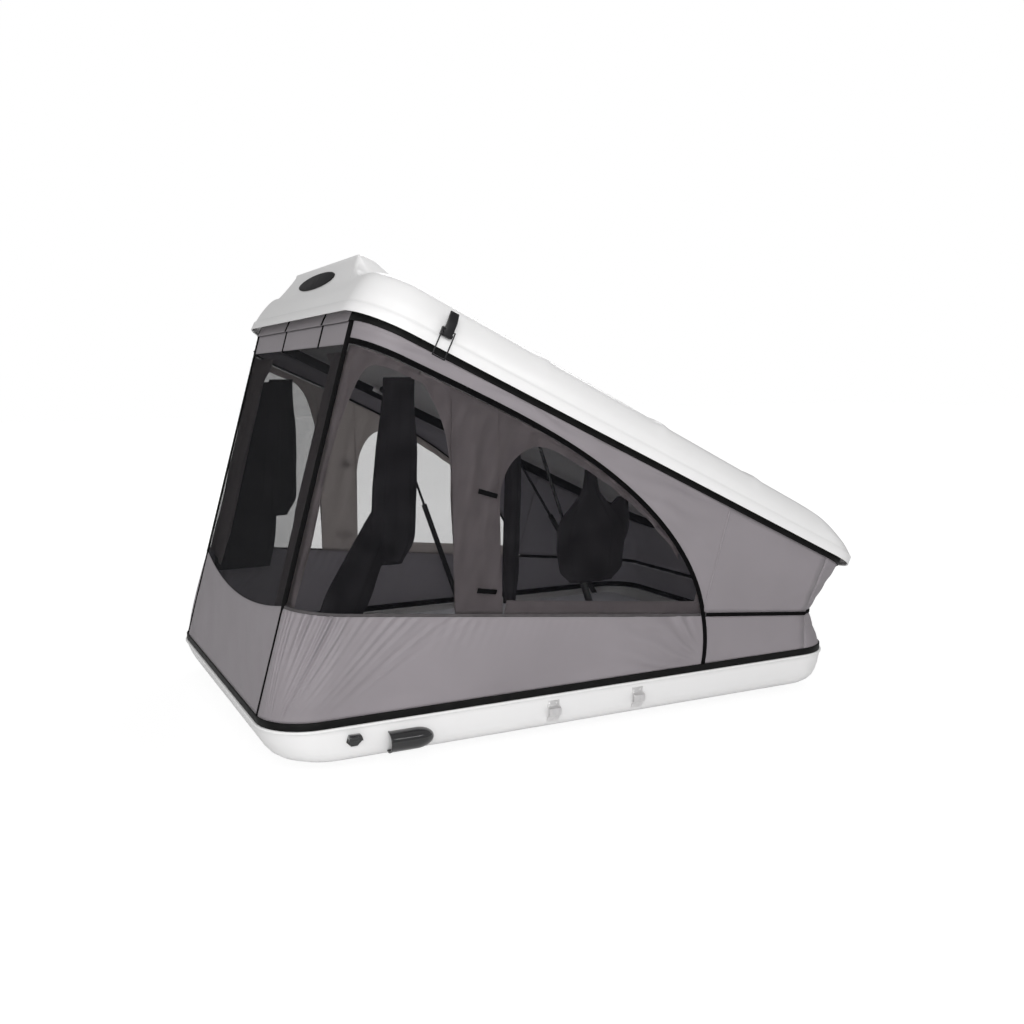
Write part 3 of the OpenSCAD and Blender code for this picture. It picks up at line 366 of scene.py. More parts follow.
rings = [bed_ring(inset, z) for inset, z in (
    (0.012, 0.0), (0.006, 0.006), (0.003, 0.016), (0.001, 0.032), (0.003, 0.048), (0.008, 0.058), (0.016, 0.0635))]
for inset in [0.0, 0.02, 0.06] + [0.1 + 0.05 * i for i in range(9)]:
    drawn = [(x * (1 - inset / BED_HALF_L * TOP_DRAW), y * (1 - inset / BED_HALF_W), z)
             for x, y, z in bed_ring(TOP_IN, BED_THICK)]
    rings.append([(x, y, z + bed_top(x, y)) for x, y, z in drawn])
count = len(rings[0])
faces = loft_faces(count, len(rings))
faces.append(tuple(range(count - 1, -1, -1)))
faces.append(tuple(range((len(rings) - 1) * count, len(rings) * count)))
mattress = mesh_piece("mattress_pad", [p for r in rings for p in r], faces, bed_cover)
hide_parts("mattress")
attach(mattress, "base")

# Vent cowl and its screen
# A glossy black half bullet moulding fixed to the tray's side over the vent,
# with a slotted screen set back in its open mouth.
gloss_black = material("gloss_black_moulding", (0.008, 0.008, 0.009), 0.05,
                       {"Coat Weight": 0.8, "Coat Roughness": 0.03})
gloss_drift(gloss_black, 0.10, 40.0)
grain(gloss_black, 500.0, 0.04, 0.0003)
satin_black = material("satin_black_moulding", (0.008, 0.008, 0.009), 0.34, {"Specular IOR Level": 0.3})
gloss_drift(satin_black, 0.52, 60.0)
grain(satin_black, 1800.0, 0.2, 0.0002)
dressed("vent_cowl", "vent_cowl_moulding", "base", gloss_black, 45.0, 0.0008)
dressed("vent_screen", "vent_slots", "base", satin_black, 30.0, 0.0004)

# Saddle loops
# Stainless steel strips pressed to a raised loop, for tie-down straps. Each is held
# to the tray's side by two screws.
dressed("saddle_loops", "strap_saddles", "base", steel, edge=0.0006)
dressed("saddle_screws", "saddle_screw_heads", "base", steel, edge=0.0006)

# Latch keepers
# Hooded hooks moulded in glossy black plastic and fixed to the tray's sides. The
# latch wires pull on them.
dressed("latch_keepers", "keeper_hoods", "base", gloss_black, edge=0.0012)

# Gas struts
# Two pairs of black painted cylinders with black nitrided rods, on headed studs at the
# tray and on brackets under the roof's lip.
strut_paint = material("black_strut_paint", (0.015, 0.015, 0.016), 0.28)
gloss_drift(strut_paint, 0.42, 40.0)
grain(strut_paint, 900.0, 0.08, 0.0002)
rod_finish = material("black_nitrided_rod", (0.05, 0.05, 0.052), 0.14, {"Metallic": 1.0})
gloss_drift(rod_finish, 0.26, 120.0)
grain(rod_finish, 1500.0, 0.04, 0.0001, 1.0, stretch=(4.0, 4.0, 0.2))
dressed("strut_base_studs", "strut_base_plates", "base", steel, edge=0.0008)
dressed("strut_roof_studs", "strut_roof_brackets", "roof", steel, edge=0.0008)
for end in ("front", "rear"):
    dressed(end + "_cylinders", end + "_strut_tubes", end + "_cylinders", strut_paint, edge=0.0008)
    dressed(end + "_rods", end + "_strut_rods", end + "_rods", rod_finish, edge=0.0006)

# Roof shell
# A moulded glass fibre lid with the tray's white gel coat: a square lip with a ledge
# inside it, rounded shoulders, a long sloping nose, shallow ribs and a raised hump at
# the rear.
TILT = math.radians(25.6)
LIP_HALF_L, LIP_HALF_W, LIP_R = 1.013, 0.713, 0.163
RIM_Z, LIP_FRONT_X, LIP_FRONT_UP = 0.136, 1.112, 0.269
ROOF_X = LIP_FRONT_X - LIP_HALF_L * math.cos(TILT)
ROOF_Z = RIM_Z + LIP_FRONT_UP + LIP_HALF_L * math.sin(TILT)
REAR_RISE, ROOF_LIP_H, ROOF_H, ROOF_WALL = 0.042, 0.030, 0.128, 0.005
RIBS, RIB_W = ((-0.427, 0.005), (0.043, 0.005), (0.457, 0.004)), 0.022
HUMP_HALF_W, HUMP_LEAN, HUMP_EASE = 0.455, 0.075, 0.035
CREST_R, CREST_UP, SIDE_PARTS, END_PARTS = 0.04, 0.004, 110, 100


def on_roof(x, y, v):
    """A point drawn over the lip's plane, at its place on the open roof."""
    return (ROOF_X + x * math.cos(TILT) + v * math.sin(TILT), y,
            ROOF_Z - x * math.sin(TILT) + v * math.cos(TILT))


def ease(x, low, high):
    """0 below low, 1 above high and smooth between them."""
    f = min(1.0, max(0.0, (x - low) / (high - low)))
    return f * f * (3 - 2 * f)


def through(rows, parts):
    """Rows of numbers with smooth steps put between them."""
    made = []
    for k in range(len(rows) - 1):
        a, b = rows[max(0, k - 1)], rows[k]
        c, d = rows[k + 1], rows[min(len(rows) - 1, k + 2)]
        for i in range(parts):
            t = i / parts
            made.append([0.5 * (2 * q + (r - p) * t + (2 * p - 5 * q + 4 * r - s) * t * t
                                + (3 * q - p - 3 * r + s) * t ** 3) for p, q, r, s in zip(a, b, c, d)])
    return made + [list(rows[-1])]


# Height over the lip, insets at the rear, side and front, then height and inset of the hump.
profile = [(0.0, 0.0, 0.0, 0.0, 0.0, 0.0), (0.001, -0.0005, -0.0005, -0.0005, 0.001, -0.0005),
           (0.028, -0.0005, -0.0005, -0.0005, 0.028, -0.0005), (0.0305, 0.0012, 0.0012, 0.0015, 0.0305, 0.0012)]
profile += through([(0.0346, 0.004, 0.004, 0.006, 0.0366, 0.004), (0.0614, 0.010, 0.012, 0.048, 0.0748, 0.010),
                    (0.0922, 0.022, 0.034, 0.120, 0.1185, 0.022), (0.106, 0.036, 0.056, 0.180, 0.160, 0.0268),
                    (0.1165, 0.070, 0.100, 0.310, 0.200, 0.0315), (0.122, 0.110, 0.140, 0.420, 0.2155, 0.036),
                    (0.1265, 0.215, 0.205, 0.600, 0.2168, 0.100), (0.128, 0.300, 0.260, 0.700, 0.165, 0.182)], 8)


def risen(x, v):
    """A height over the lip with the rise of the roof's top towards the rear."""
    up = min(1.0, max(0.0, (v - ROOF_LIP_H) / (ROOF_H - ROOF_LIP_H)))
    return v + REAR_RISE * (LIP_HALF_L - x) / (2 * LIP_HALF_L) * up


def hump_share(y, v, inset):
    """1 across the hump and 0 beside it. Its sides lean in from a wide foot."""
    edge = HUMP_HALF_W - HUMP_LEAN * max(ease(v, 0.11, 0.21), ease(inset, 0.05, 0.1))
    return 1 - ease(abs(y), edge - HUMP_EASE, edge + HUMP_EASE)


def plain_ring(v, rear, side, front, radius):
    return ring(-LIP_HALF_L + rear, LIP_HALF_L - front, LIP_HALF_W - side, radius, v, 10, SIDE_PARTS, END_PARTS)


def shell_ring(v, rear, side, front, hump_v, hump_rear):
    """A ring of the shell at height v, raised and drawn in to the hump at the rear."""
    radius = max(CREST_R, LIP_R - side / 2)
    made = []
    for x, y, z in plain_ring(v, rear, side, front, radius):
        at_rear = 1.0 if x < -LIP_HALF_L + rear + radius * 0.999 else 0.0
        share = hump_share(y, hump_v, hump_rear) * at_rear
        z = risen(x, z)
        made.append((x + (hump_rear - rear) * share, y, z + (hump_v - z) * share))
    return made


def ribbed(point):
    x, y, v = point
    rib = sum(h * math.exp(-((x - at) / RIB_W) ** 2) for at, h in RIBS)
    return (x, y, v + rib * ease(v, 0.06, 0.1))


def thicken(piece, thickness):
    """Gives a sheet its thickness, on its inside."""
    apply_modifier(piece, "SOLIDIFY", thickness=thickness, offset=-1.0)


def joined(pieces, name):
    only(pieces[0])
    for p in pieces[1:]:
        p.select_set(True)
    bpy.ops.object.join()
    pieces[0].name = name
    return pieces[0]


rings = [shell_ring(*row) for row in profile]
crest = plain_ring(*profile[-1][:4], CREST_R)
for share in (0.9, 0.78, 0.64, 0.48, 0.32, 0.16, 0.0):
    rings.append([(x, y * share, risen(x, z) + CREST_UP * (1 - share ** 2)) for x, y, z in crest])
roof = mesh_piece("roof_moulding", [on_roof(*ribbed(p)) for r in rings for p in r],
                  loft_faces(len(crest), len(rings)), gel_coat)
merge(roof, 0.00001)
bpy.ops.object.shade_smooth_by_angle(angle=math.radians(50))
thicken(roof, ROOF_WALL)
rings = [ring(-LIP_HALF_L + i, LIP_HALF_L - i, LIP_HALF_W - i, LIP_R - i, v) for i, v in
         ((0.0055, 0.022), (0.040, 0.022), (0.040, 0.027), (0.0055, 0.027), (0.0055, 0.022))]
ledge = mesh_piece("ledge_part", [on_roof(*p) for r in rings for p in r],
                   [f[::-1] for f in loft_faces(len(rings[0]), len(rings))], gel_coat, 40.0)
merge(ledge, 0.00001, bpy.ops.mesh.normals_make_consistent, inside=False)
joined([roof, ledge], "roof_moulding")
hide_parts("roof_shell")
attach(roof, "roof")

# Roof seal
# An extruded black rubber profile fixed under the lip's ledge, all the way round. The
# head of the canvas hangs from it.
dressed("roof_seal", "lip_seal", "roof", rubber, 38.0, 0.002)

# Roof liner
# A panel of grey needled felt, cut to the roof's flat top and glued to its
# underside.
felt = material("grey_felt", (0.14, 0.135, 0.13), 0.95, {"Sheen Weight": 0.4})
tone_drift(felt, (0.18, 0.175, 0.17), 40.0)
grain(felt, 900.0, 0.3, 0.0006, 4.0)
dressed("roof_liner", "headliner", "roof", felt, 30.0, 0.003)

# Name plate
# A thin blank oval plate with a coat of black enamel, fixed on the end face of the
# hump.
enamel = material("black_plate_enamel", (0.010, 0.010, 0.011), 0.45, {"Specular IOR Level": 0.08})
gloss_drift(enamel, 0.6, 30.0)
grain(enamel, 400.0, 0.05, 0.0003)
dressed("name_plate", "blank_oval_plate", "roof", enamel, 40.0, 0.0006)

# Latches
# Black toggle latches: a base with two ears on the roof's side, a lever on a pin, and
# a wire bail on the lever that hooks under the keeper.
dressed("latch_bases", "latch_brackets", "roof", satin_black, edge=0.0006)
for side in ("right", "left"):
    dressed(side + "_latch_lever", side + "_toggle_lever", side + "_lever", satin_black, edge=0.0008)
    dressed(side + "_latch_bail", side + "_wire_bail", side + "_bail", satin_black)

# Canvas walls
# The outer cloth, a grey canvas that lets some light through. It is sewn from panels
# between the rim band and the roof's seal, and lies folded when the roof is shut.
HALF_L, HALF_W, CORNER_R = 1.0, 0.7, 0.15
FOOT_Z, FOOT_IN, HEAD_IN, HEAD_V = 0.1583, 0.004, 0.034, -0.0143
SEAM_MID, SEAM_FALL, SEAM_LEAN, FOLD_IN, FOLD_FROM, FOLD_OVER = 0.227, 0.108, 0.28, 0.060, 2.6, 0.6
SIDE_RUN, CORNER_RUN, END_RUN = 1.7, 0.216, 0.55
CLOTH_T = 0.0016


def near_loop(hl, hw, r, s):
    """The place s on the near half of a rounded rectangle: 0 to 1 over half the rear, to 2 round a
    corner, to 3 along the side, to 4 round the front corner and to 5 over half the front."""
    if s <= 1:
        return (-hl, -(hw - r) * s)
    if s <= 2:
        turn = math.pi / 2 * (s - 1)
        return (-(hl - r) - r * math.cos(turn), -(hw - r) - r * math.sin(turn))
    if s <= 3:
        return (-(hl - r) + 2 * (hl - r) * (s - 2), -hw)
    if s <= 4:
        turn = math.pi / 2 * (s - 3)
        return (hl - r + r * math.sin(turn), -(hw - r) - r * math.cos(turn))
    return (hl, -(hw - r) * (5 - s))


def loop_point(hl, hw, r, s):
    """The place s on the whole loop, which runs on round the far side past 0 and 5."""
    if s < 0 or s > 5:
        x, y = near_loop(hl, hw, r, -s if s < 0 else 10 - s)
        return (x, -y)
    return near_loop(hl, hw, r, s)


def foot(s, d):
    i = FOOT_IN + d
    x, y = loop_point(HALF_L - i, HALF_W - i, CORNER_R - i, s)
    return (x, y, FOOT_Z)


def head(s, d):
    i = HEAD_IN + d
    x, y = loop_point(LIP_HALF_L - i, LIP_HALF_W - i, LIP_R - i, s)
    return on_roof(x, y, HEAD_V)


def rise(s):
    return head(s, 0)[2] - foot(s, 0)[2]


def seam(s):
    """The share of the wall's height at which skirt and net are sewn together."""
    a, b = foot(s, 0), head(s, 0)
    x = a[0] + (b[0] - a[0]) * SEAM_LEAN
    return (RIM_Z + SEAM_MID - SEAM_FALL * x - a[2]) / (b[2] - a[2])


def wall(s, t, d):
    """The point at the place s and the share t of the wall's height, d inside its cloth."""
    around = 10 - s if s > 5 else abs(s)
    middle = seam(s)
    slack = t / middle if t < middle else (1 - t) / (1 - middle)
    d += FOLD_IN * min(1.0, max(0.0, (around - FOLD_FROM) / FOLD_OVER)) * slack
    a, b = foot(s, d), head(s, d)
    return tuple(p + (q - p) * t for p, q in zip(a, b))


def run(s):
    """Length along the wall from the rear's middle to the place s."""
    if s < 0:
        return -run(-s)
    half = (END_RUN, CORNER_RUN, SIDE_RUN, CORNER_RUN, END_RUN)
    spans = half + half[::-1]
    whole = int(s)
    return sum(spans[:whole]) + spans[min(whole, 9)] * (s - whole)


def steps(a, b, n):
    return [a + (b - a) * i / n for i in range(n + 1)]


def let_light_through(made, colour, share):
    """Cloth that glows a little when it is lit from behind."""
    tree = made.node_tree
    glow = shader_node(tree, "BsdfTranslucent", {"Color": (*colour, 1.0)})
    mix = shader_node(tree, "MixShader", {"Fac": share})
    tree.links.new(tree.nodes["Principled BSDF"].outputs["BSDF"], mix.inputs[1])
    tree.links.new(glow.outputs["BSDF"], mix.inputs[2])
    tree.links.new(mix.outputs["Shader"], tree.nodes["Material Output"].inputs["Surface"])


canvas = material("grey_canvas", (0.371, 0.339, 0.359), 0.5, {"Sheen Weight": 0.12})
let_light_through(canvas, (0.5, 0.5, 0.54), 0.35)
tone_drift(canvas, (0.406, 0.371, 0.394), 5.0)
weave(canvas, 0.0011, 0.18, 0.0003)
grain(canvas, 26.0, 0.12, 0.003, 3.0, "UV")


def grid_faces(columns, rows, left=False):
    """Quads over columns of equally many points, turned round for the left side."""
    made = [(i * rows + j, (i + 1) * rows + j, (i + 1) * rows + j + 1, i * rows + j + 1)
            for i in range(columns - 1) for j in range(rows - 1)]
    return [f[::-1] for f in made] if left else made


def lay_flat(piece, flat):
    """Gives each vertex its place on the flat cloth, and returns the cloth's area."""
    layer = piece.data.uv_layers.new(name="cloth")
    for corner in piece.data.loops:
        layer.data[corner.index].uv = flat[corner.vertex_index]
    return sum(p.area for p in piece.data.polygons)


def fix_cloth(piece, node):
    """Fixes cloth to the base."""
    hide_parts(node)
    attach(piece, "base")
    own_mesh(piece)


def panel(name, ends, rows, ripple, finish, node, left=False, depth=None, thick=CLOTH_T):
    """A cloth panel over columns of low and high [s, t] ends, with its ripples or its own depth."""
    verts, flat = [], []
    for low, high in ends:
        for j in range(rows + 1):
            f = j / rows
            s, t = low[0] + (high[0] - low[0]) * f, low[1] + (high[1] - low[1]) * f
            x, y, z = wall(s, t, depth(s, t, f) if depth else -ripple(s, t))
            verts.append((x, -y if left else y, z))
            flat.append((run(s), t * rise(s)))
    piece = mesh_piece(name, verts, grid_faces(len(ends), rows + 1, left), finish)
    area = lay_flat(piece, flat)
    width = max(u for u, v in flat) - min(u for u, v in flat)
    length = max(v for u, v in flat) - min(v for u, v in flat)
    # The flat cloth is a little larger than the sewn one
    length = min(max(length, area / width * 1.005), area / width * 3.0)
    thicken(piece, thick)
    fix_cloth(piece, node)


def cloth_noise(s, t, scale, seed):
    return noise.noise(Vector((run(s) * scale, t * rise(s) * scale, seed)))


def sewn_fade(t, low, high, width=0.12):
    """0 at a panel's sewn edges and 1 away from them."""
    f = (t - low) / max(1e-6, high - low)
    return ease(f, 0.0, width) * ease(1 - f, 0.0, width)


# Rear wall
# A canvas skirt whose top edge dips in the middle, an insect net of black threads over
# it, and a canvas header under the roof. The header is wrapped up over the seal.
STRIP_W, REAR_HEAD, REAR_DIP, NET_T, NET_PITCH = 0.020, 0.94, 0.05, 0.0006, 0.0024
STRIP_END, STRIP_START = 1 + STRIP_W / CORNER_RUN, 1 - STRIP_W / 3 / END_RUN
SEAL_IN, SEAL_ROWS = 0.0285, (-0.0175, -0.014, -0.008, -0.002, 0.004, 0.010, 0.016, 0.0205)
rear_places = steps(-STRIP_START, STRIP_START, 90)


def rear_seam(s):
    return seam(1) - REAR_DIP * (1 - s * s)


def rear_skirt_ripple(s, t):
    fade = sewn_fade(t, 0, rear_seam(s)) * ease(1 - abs(s), 0.0, 0.06)
    diagonal = math.sin(34 * run(s) + 60 * t + 3 * cloth_noise(s, t, 3, 2.0))
    return fade * (0.0022 * diagonal * (0.4 + abs(s)) + 0.004 * cloth_noise(s, t, 5, 1.0))


def rear_net_ripple(s, t):
    return sewn_fade(t, rear_seam(s), REAR_HEAD) * (0.003 * cloth_noise(s, t, 4, 5.0) - 0.006 * (1 - s * s))


def rear_header_ripple(s, t):
    return 0.002 * cloth_noise(s, t, 7, 9.0) * sewn_fade(t, REAR_HEAD, 1)


def net_material(name, open_share, thread_share):
    """Crossing black threads. The shares are the cover of one face between and on the threads."""
    made = material(name, (0.011, 0.011, 0.013), 0.8, {"Specular IOR Level": 0.1})
    tree = made.node_tree
    cover = shader_node(tree, "MapRange", {"From Min": 0.35, "From Max": 1.0,
                                           "To Min": open_share, "To Max": thread_share})
    tree.links.new(threads(made, NET_PITCH, "MAXIMUM"), cover.inputs["Value"])
    tree.links.new(cover.outputs["Result"], sockets(made)["Alpha"])
    return made


def seal_face(s, v, out=0.0):
    """A point on the cloth that wraps the outside of the rear seal, v over the lip."""
    i = SEAL_IN - out
    x, y = loop_point(LIP_HALF_L - i, LIP_HALF_W - i, LIP_R - i, s)
    return on_roof(x, y, v + 0.001 * noise.noise(Vector((9 * s, 0.0, 31.0))))


net = net_material("black_insect_net", 0.05, 0.26)
rear_net = net_material("dense_insect_net", 0.31, 0.53)
panel("rear_skirt_cloth", [((s, 0), (s, rear_seam(s))) for s in steps(-1.0, 1.0, 92)], 26,
      rear_skirt_ripple, canvas, "rear_skirt")
panel("rear_net_cloth", [((s, rear_seam(s)), (s, REAR_HEAD)) for s in rear_places[::2]], 40,
      rear_net_ripple, rear_net, "rear_net", thick=NET_T)
panel("rear_header_cloth", [((s, REAR_HEAD), (s, 1)) for s in rear_places], 8,
      rear_header_ripple, canvas, "rear_header")
wrap = mesh_piece("rear_header_wrap", [seal_face(s, v) for s in rear_places for v in SEAL_ROWS],
                  grid_faces(len(rear_places), len(SEAL_ROWS)), canvas)
area = lay_flat(wrap, [(run(s), v) for s in rear_places for v in SEAL_ROWS])
thicken(wrap, CLOTH_T)
width = 2 * run(STRIP_START)
fix_cloth(wrap, "rear_header")

# Side walls
# On each side a canvas skirt, an insect net above its seam, and a canvas header
# that the door zip parts from the net.
ZIP_TOP, ZIP_FOOT = 0.95, 2.75
ZIP_REACH = ZIP_FOOT - 2


def zip_t(s):
    return ZIP_TOP * (1 if s < 2 else math.sqrt(max(0.0, 1 - ((s - 2) / ZIP_REACH) ** 4)))


def zip_place(t):
    return 2 + ZIP_REACH * (1 - min(1.0, t / ZIP_TOP) ** 2) ** 0.25


ZIP_CROSS = zip_place(seam(ZIP_FOOT))
zip_line = ([(s, ZIP_TOP) for s in steps(STRIP_END, 2, 14)] + [(s, zip_t(s)) for s in steps(2.012, 2.69, 57)]
            + [(2 + ZIP_REACH * math.sqrt(math.sin(math.radians(a))), ZIP_TOP * math.cos(math.radians(a)))
               for a in range(60, 92, 2)])
side_line = [p for p in zip_line if p[0] < ZIP_CROSS - 0.002] + [(ZIP_CROSS - 0.001, zip_t(ZIP_CROSS - 0.001))]
foot_line = [p for p in zip_line if p[0] > ZIP_CROSS + 0.001 and p[1] > 0.01]


def off_zip(s, t):
    """0 along the door zip and 1 away from it."""
    return ease(abs(zip_place(t) - s), 0.005, 0.06)


def skirt_ripple(s, t):
    """Folds that fan up from the foot of the corner, short gathers under the seam, and slack."""
    along, height = run(s) - END_RUN, t * rise(s)
    top = seam(s)
    angle = math.atan2(along - 0.06, height + 0.13)
    turn = noise.noise(Vector((angle * 4, height * 3, 3.0)))
    fan = math.sin(118 * angle + 6 * turn) + 0.8 * math.sin(71 * angle - 5 * turn + 1.0)
    fan *= ease(angle, -0.2, 0.1) * (1 - ease(angle, 0.7, 1.15)) * (height + 0.13) / 0.4
    fan *= 0.55 + 0.9 * noise.noise(Vector((angle * 9, height * 4, 8.0)))
    gather = math.sin(190 * along - 40 * height + 5 * cloth_noise(s, t, 3.0, 4.0)) * ease(t / top, 0.45, 0.97)
    gather *= math.exp(-along / 0.5) * ease(along, 0.3, 0.6) * (0.3 + 1.6 * max(0.0, cloth_noise(s, t, 4.0, 18.0)))
    pull = math.atan2(height + 0.03, max(0.01, run(ZIP_FOOT) - run(s)) + 0.05)
    pull = math.sin(34 * pull + 3 * cloth_noise(s, t, 6.0, 10.0)) * ease(along, 0.95, 1.3)
    sewn = ease(t / top, 0.0, 0.12) * (1 - ease(t / top, 0.975, 1.0)) * off_zip(s, t)
    slack = sewn_fade(t, 0, top, 0.2) * off_zip(s, t) * 0.007 * cloth_noise(s, t, 3.5, 6.0)
    return ease(along, 0.004, 0.03) * (sewn * (0.0052 * fan + 0.0042 * gather + 0.0040 * pull) + 1.4 * slack)


def net_ripple(s, t):
    return sewn_fade(t, seam(s), zip_t(s)) * (0.003 * cloth_noise(s, t, 4, 7.0))


def header_ripple(s, t):
    crease = math.sin(95 * (1 - t) * rise(s) + 14 * run(s) + 5 * cloth_noise(s, t, 4, 13.0))
    crease *= 0.4 + 1.4 * max(0.0, cloth_noise(s, t, 6, 19.0) + 0.2)
    held = sewn_fade(t, zip_t(s), 1) * ease(ZIP_CROSS - s, 0.0, 0.06) * ease(run(s) - END_RUN, 0.02, 0.08)
    held *= ease((t - zip_t(s)) * rise(s), 0.009, 0.04)
    return held * (0.007 * cloth_noise(s, t, 5, 8.0) + 0.0042 * crease)


skirt_ends = [((s, 0), (s, seam(s))) for s in steps(1.0, 2.3, 330) + steps(2.303, ZIP_CROSS, 190)]
skirt_ends += [((s, 0), (s, t)) for s, t in foot_line]
net_ends = [((s, seam(s)), (s, t)) for s, t in side_line]
header_ends = [((s, t), (s, 1)) for s, t in side_line + [(ZIP_CROSS, zip_t(ZIP_CROSS))]]
for side in ("right", "left"):
    left = side == "left"
    panel(side + "_skirt_cloth", skirt_ends, 34, skirt_ripple, canvas, side + "_skirt", left)
    panel(side + "_net_cloth", net_ends, 40, net_ripple, net, side + "_net", left, thick=NET_T)
    panel(side + "_header_cloth", header_ends, 40, header_ripple, canvas, side + "_header", left)

# Front wall
# The low canvas end, folded in along a piping when the roof is up. Its corners
# wrap round to the door zips.
PIPING_W = 0.012
front_half = foot_line + [(s, 0) for s in steps(ZIP_FOOT, 3, 14)]
corner_places = steps(3, 4, 12) + steps(4.05, 5.95, 40) + steps(6, 7, 12)


def piping_edges(s):
    half = PIPING_W / 2 / rise(s)
    return (s, seam(s) - half), (s, seam(s) + half)


def front_ends(places, upper):
    """The ends of the cloth over or under the piping."""
    return [(piping_edges(s)[1], (s, 1)) if upper else ((s, t), piping_edges(s)[0]) for s, t in places]


def front_ripple(s, t):
    fade = sewn_fade(t, 0, seam(s)) if t < seam(s) else sewn_fade(t, seam(s), 1)
    fade *= ease(s - ZIP_CROSS, 0.0, 0.06) * off_zip(s, t) if s < 3 else 1.0
    wave = math.sin(60 * run(s) - 30 * t + 4 * cloth_noise(s, t, 3, 12.0))
    return fade * (0.0026 * cloth_noise(s, t, 5, 11.0) + 0.0014 * wave)


for level, upper in (("lower", False), ("upper", True)):
    node, near = "front_wall_" + level, ([(ZIP_CROSS, 0)] if upper else []) + front_half
    for side in ("right", "left"):
        panel("front_%s_%s_cloth" % (level, side), front_ends(near, upper), 20, front_ripple, canvas, node,
              side == "left")
    panel("front_%s_end_cloth" % level, front_ends([(s, 0) for s in corner_places], upper), 20, front_ripple, canvas,
          node)

# Inner walls
# Lighter cloth that hangs inside each side net, with an arched door and an arched
# window cut in it. It turns on to the rear, and a band runs under the window.
DOOR_LEFT, DOOR_PEAK, DOOR_RIGHT_X, WINDOW_LEFT_X, INNER_END = 0.055, 0.280, -0.440, -0.290, 1.300
ARCH_TOP, DOOR_DROP, WINDOW_DROP, WINDOW_ROUND = 0.915, 0.28, 0.27, 0.200
WINDOW_GAP, INNER_DROP, INNER_GAP, INNER_T = 0.045, 0.01, 0.010, 0.0012
REAR_EDGE, REAR_ROUND, REAR_ARCH, LINING_TOP = 0.72, 0.14, 0.12, 0.93
BAND_H, BAND_W = 0.043, 0.045
INNER_MIN, INNER_SLACK, INNER_TOP, INNER_REAR = 0.0036, 0.002, 0.0016, 0.010


def place_at(x):
    """The place a length x round from the start of the rear corner."""
    return 1 + x / CORNER_RUN if x < CORNER_RUN else 2 + (x - CORNER_RUN) / SIDE_RUN


def wall_x(s, t):
    return foot(s, 0)[0] + (head(s, 0)[0] - foot(s, 0)[0]) * t


def side_at(x, t):
    """The place along the side at which the wall passes x at the share t."""
    return 2 + (x - wall_x(2, t)) / (wall_x(3, t) - wall_x(2, t))


def zip_at(x):
    """The place along the side at which the zip passes x."""
    s = 2.0
    for turn in range(8):
        s = side_at(x, zip_t(s))
    return s


def quarter(f):
    return 1 - math.sqrt(1 - min(1.0, max(0.0, f)) ** 2)


def corner_low(x):
    """The lower edge of the cloth round the corner, up to the peak of the door's arch."""
    b = seam(place_at(x))
    if x < DOOR_LEFT:
        return b
    return b + (ARCH_TOP - b) * (1 - ((DOOR_PEAK - x) / (DOOR_PEAK - DOOR_LEFT)) ** 6) ** (1 / 6)


DOOR_PEAK_X = wall_x(place_at(DOOR_PEAK), ARCH_TOP)
INNER_END_X = wall_x(place_at(INNER_END), zip_t(place_at(INNER_END)))


def upright_low(x):
    """The lower edge past the door's peak: down the arch, along the seam and over the window."""
    if x < DOOR_RIGHT_X:
        return ARCH_TOP - DOOR_DROP * quarter((x - DOOR_PEAK_X) / (DOOR_RIGHT_X - DOOR_PEAK_X))
    b = seam(side_at(x, seam(2)))
    if x < WINDOW_LEFT_X:
        return b
    return max(b, zip_t(zip_at(x)) - WINDOW_GAP - WINDOW_DROP * quarter(1 - (x - WINDOW_LEFT_X) / WINDOW_ROUND))


def inner_depth(s, t, f):
    """How far the crumpled cloth hangs inside the net, drawn out to it along its sewn top edge."""
    crumple = 0.0045 * math.sin(70 * run(s) + 6 * cloth_noise(s, t, 3, 14.0)) * (0.3 + t)
    crumple = crumple + 0.005 * cloth_noise(s, t, 9, 15.0) + 0.0016 * cloth_noise(s, t, 30, 16.0)
    on_rear = 1 - ease(s, 0.95, 1.15)
    out = (INNER_GAP - INNER_TOP) * ease(f, 0.55, 1.0) * (1 - on_rear)
    depth = INNER_GAP - out + crumple * (1 - ease(f, 0.8, 1.0)) + INNER_SLACK
    return max(INNER_MIN, depth) + INNER_REAR * on_rear


def band_depth(s, t, f):
    return INNER_GAP - 0.003 + 0.002 * cloth_noise(s, t, 12, 17.0)


corner_runs = ([0.022, 0.038] + [DOOR_LEFT + f for f in (-0.0005, 0.0001, 0.0006, 0.002, 0.005, 0.010, 0.018)]
               + steps(0.085, DOOR_PEAK, 24))
upright_xs = (steps(DOOR_PEAK_X + 0.006, DOOR_RIGHT_X - 0.008, 14)
              + steps(DOOR_RIGHT_X - 0.006, DOOR_RIGHT_X - 0.0003, 6)
              + steps(DOOR_RIGHT_X + 0.0001, WINDOW_LEFT_X - 0.0001, 46)
              + [WINDOW_LEFT_X + WINDOW_ROUND * f for f in (0.0005, 0.003, 0.01, 0.02, 0.04, 0.07, 0.1)]
              + steps(WINDOW_LEFT_X + 0.03, WINDOW_LEFT_X + WINDOW_ROUND, 16)
              + steps(WINDOW_LEFT_X + WINDOW_ROUND + 0.02, INNER_END_X, 36))
inner_ends = [((s, LINING_TOP - 0.005 - REAR_ARCH * quarter((s - REAR_EDGE + REAR_ROUND) / REAR_ROUND)),
               (s, LINING_TOP)) for s in steps(REAR_EDGE - REAR_ROUND, REAR_EDGE - 0.002, 12)]
inner_ends += [((s, rear_seam(s)), (s, LINING_TOP)) for s in steps(REAR_EDGE - 0.001, 1.0, 14)]
inner_ends += [((s, seam(s)), (s, LINING_TOP)) for s in steps(1.02, 1.08, 4)]
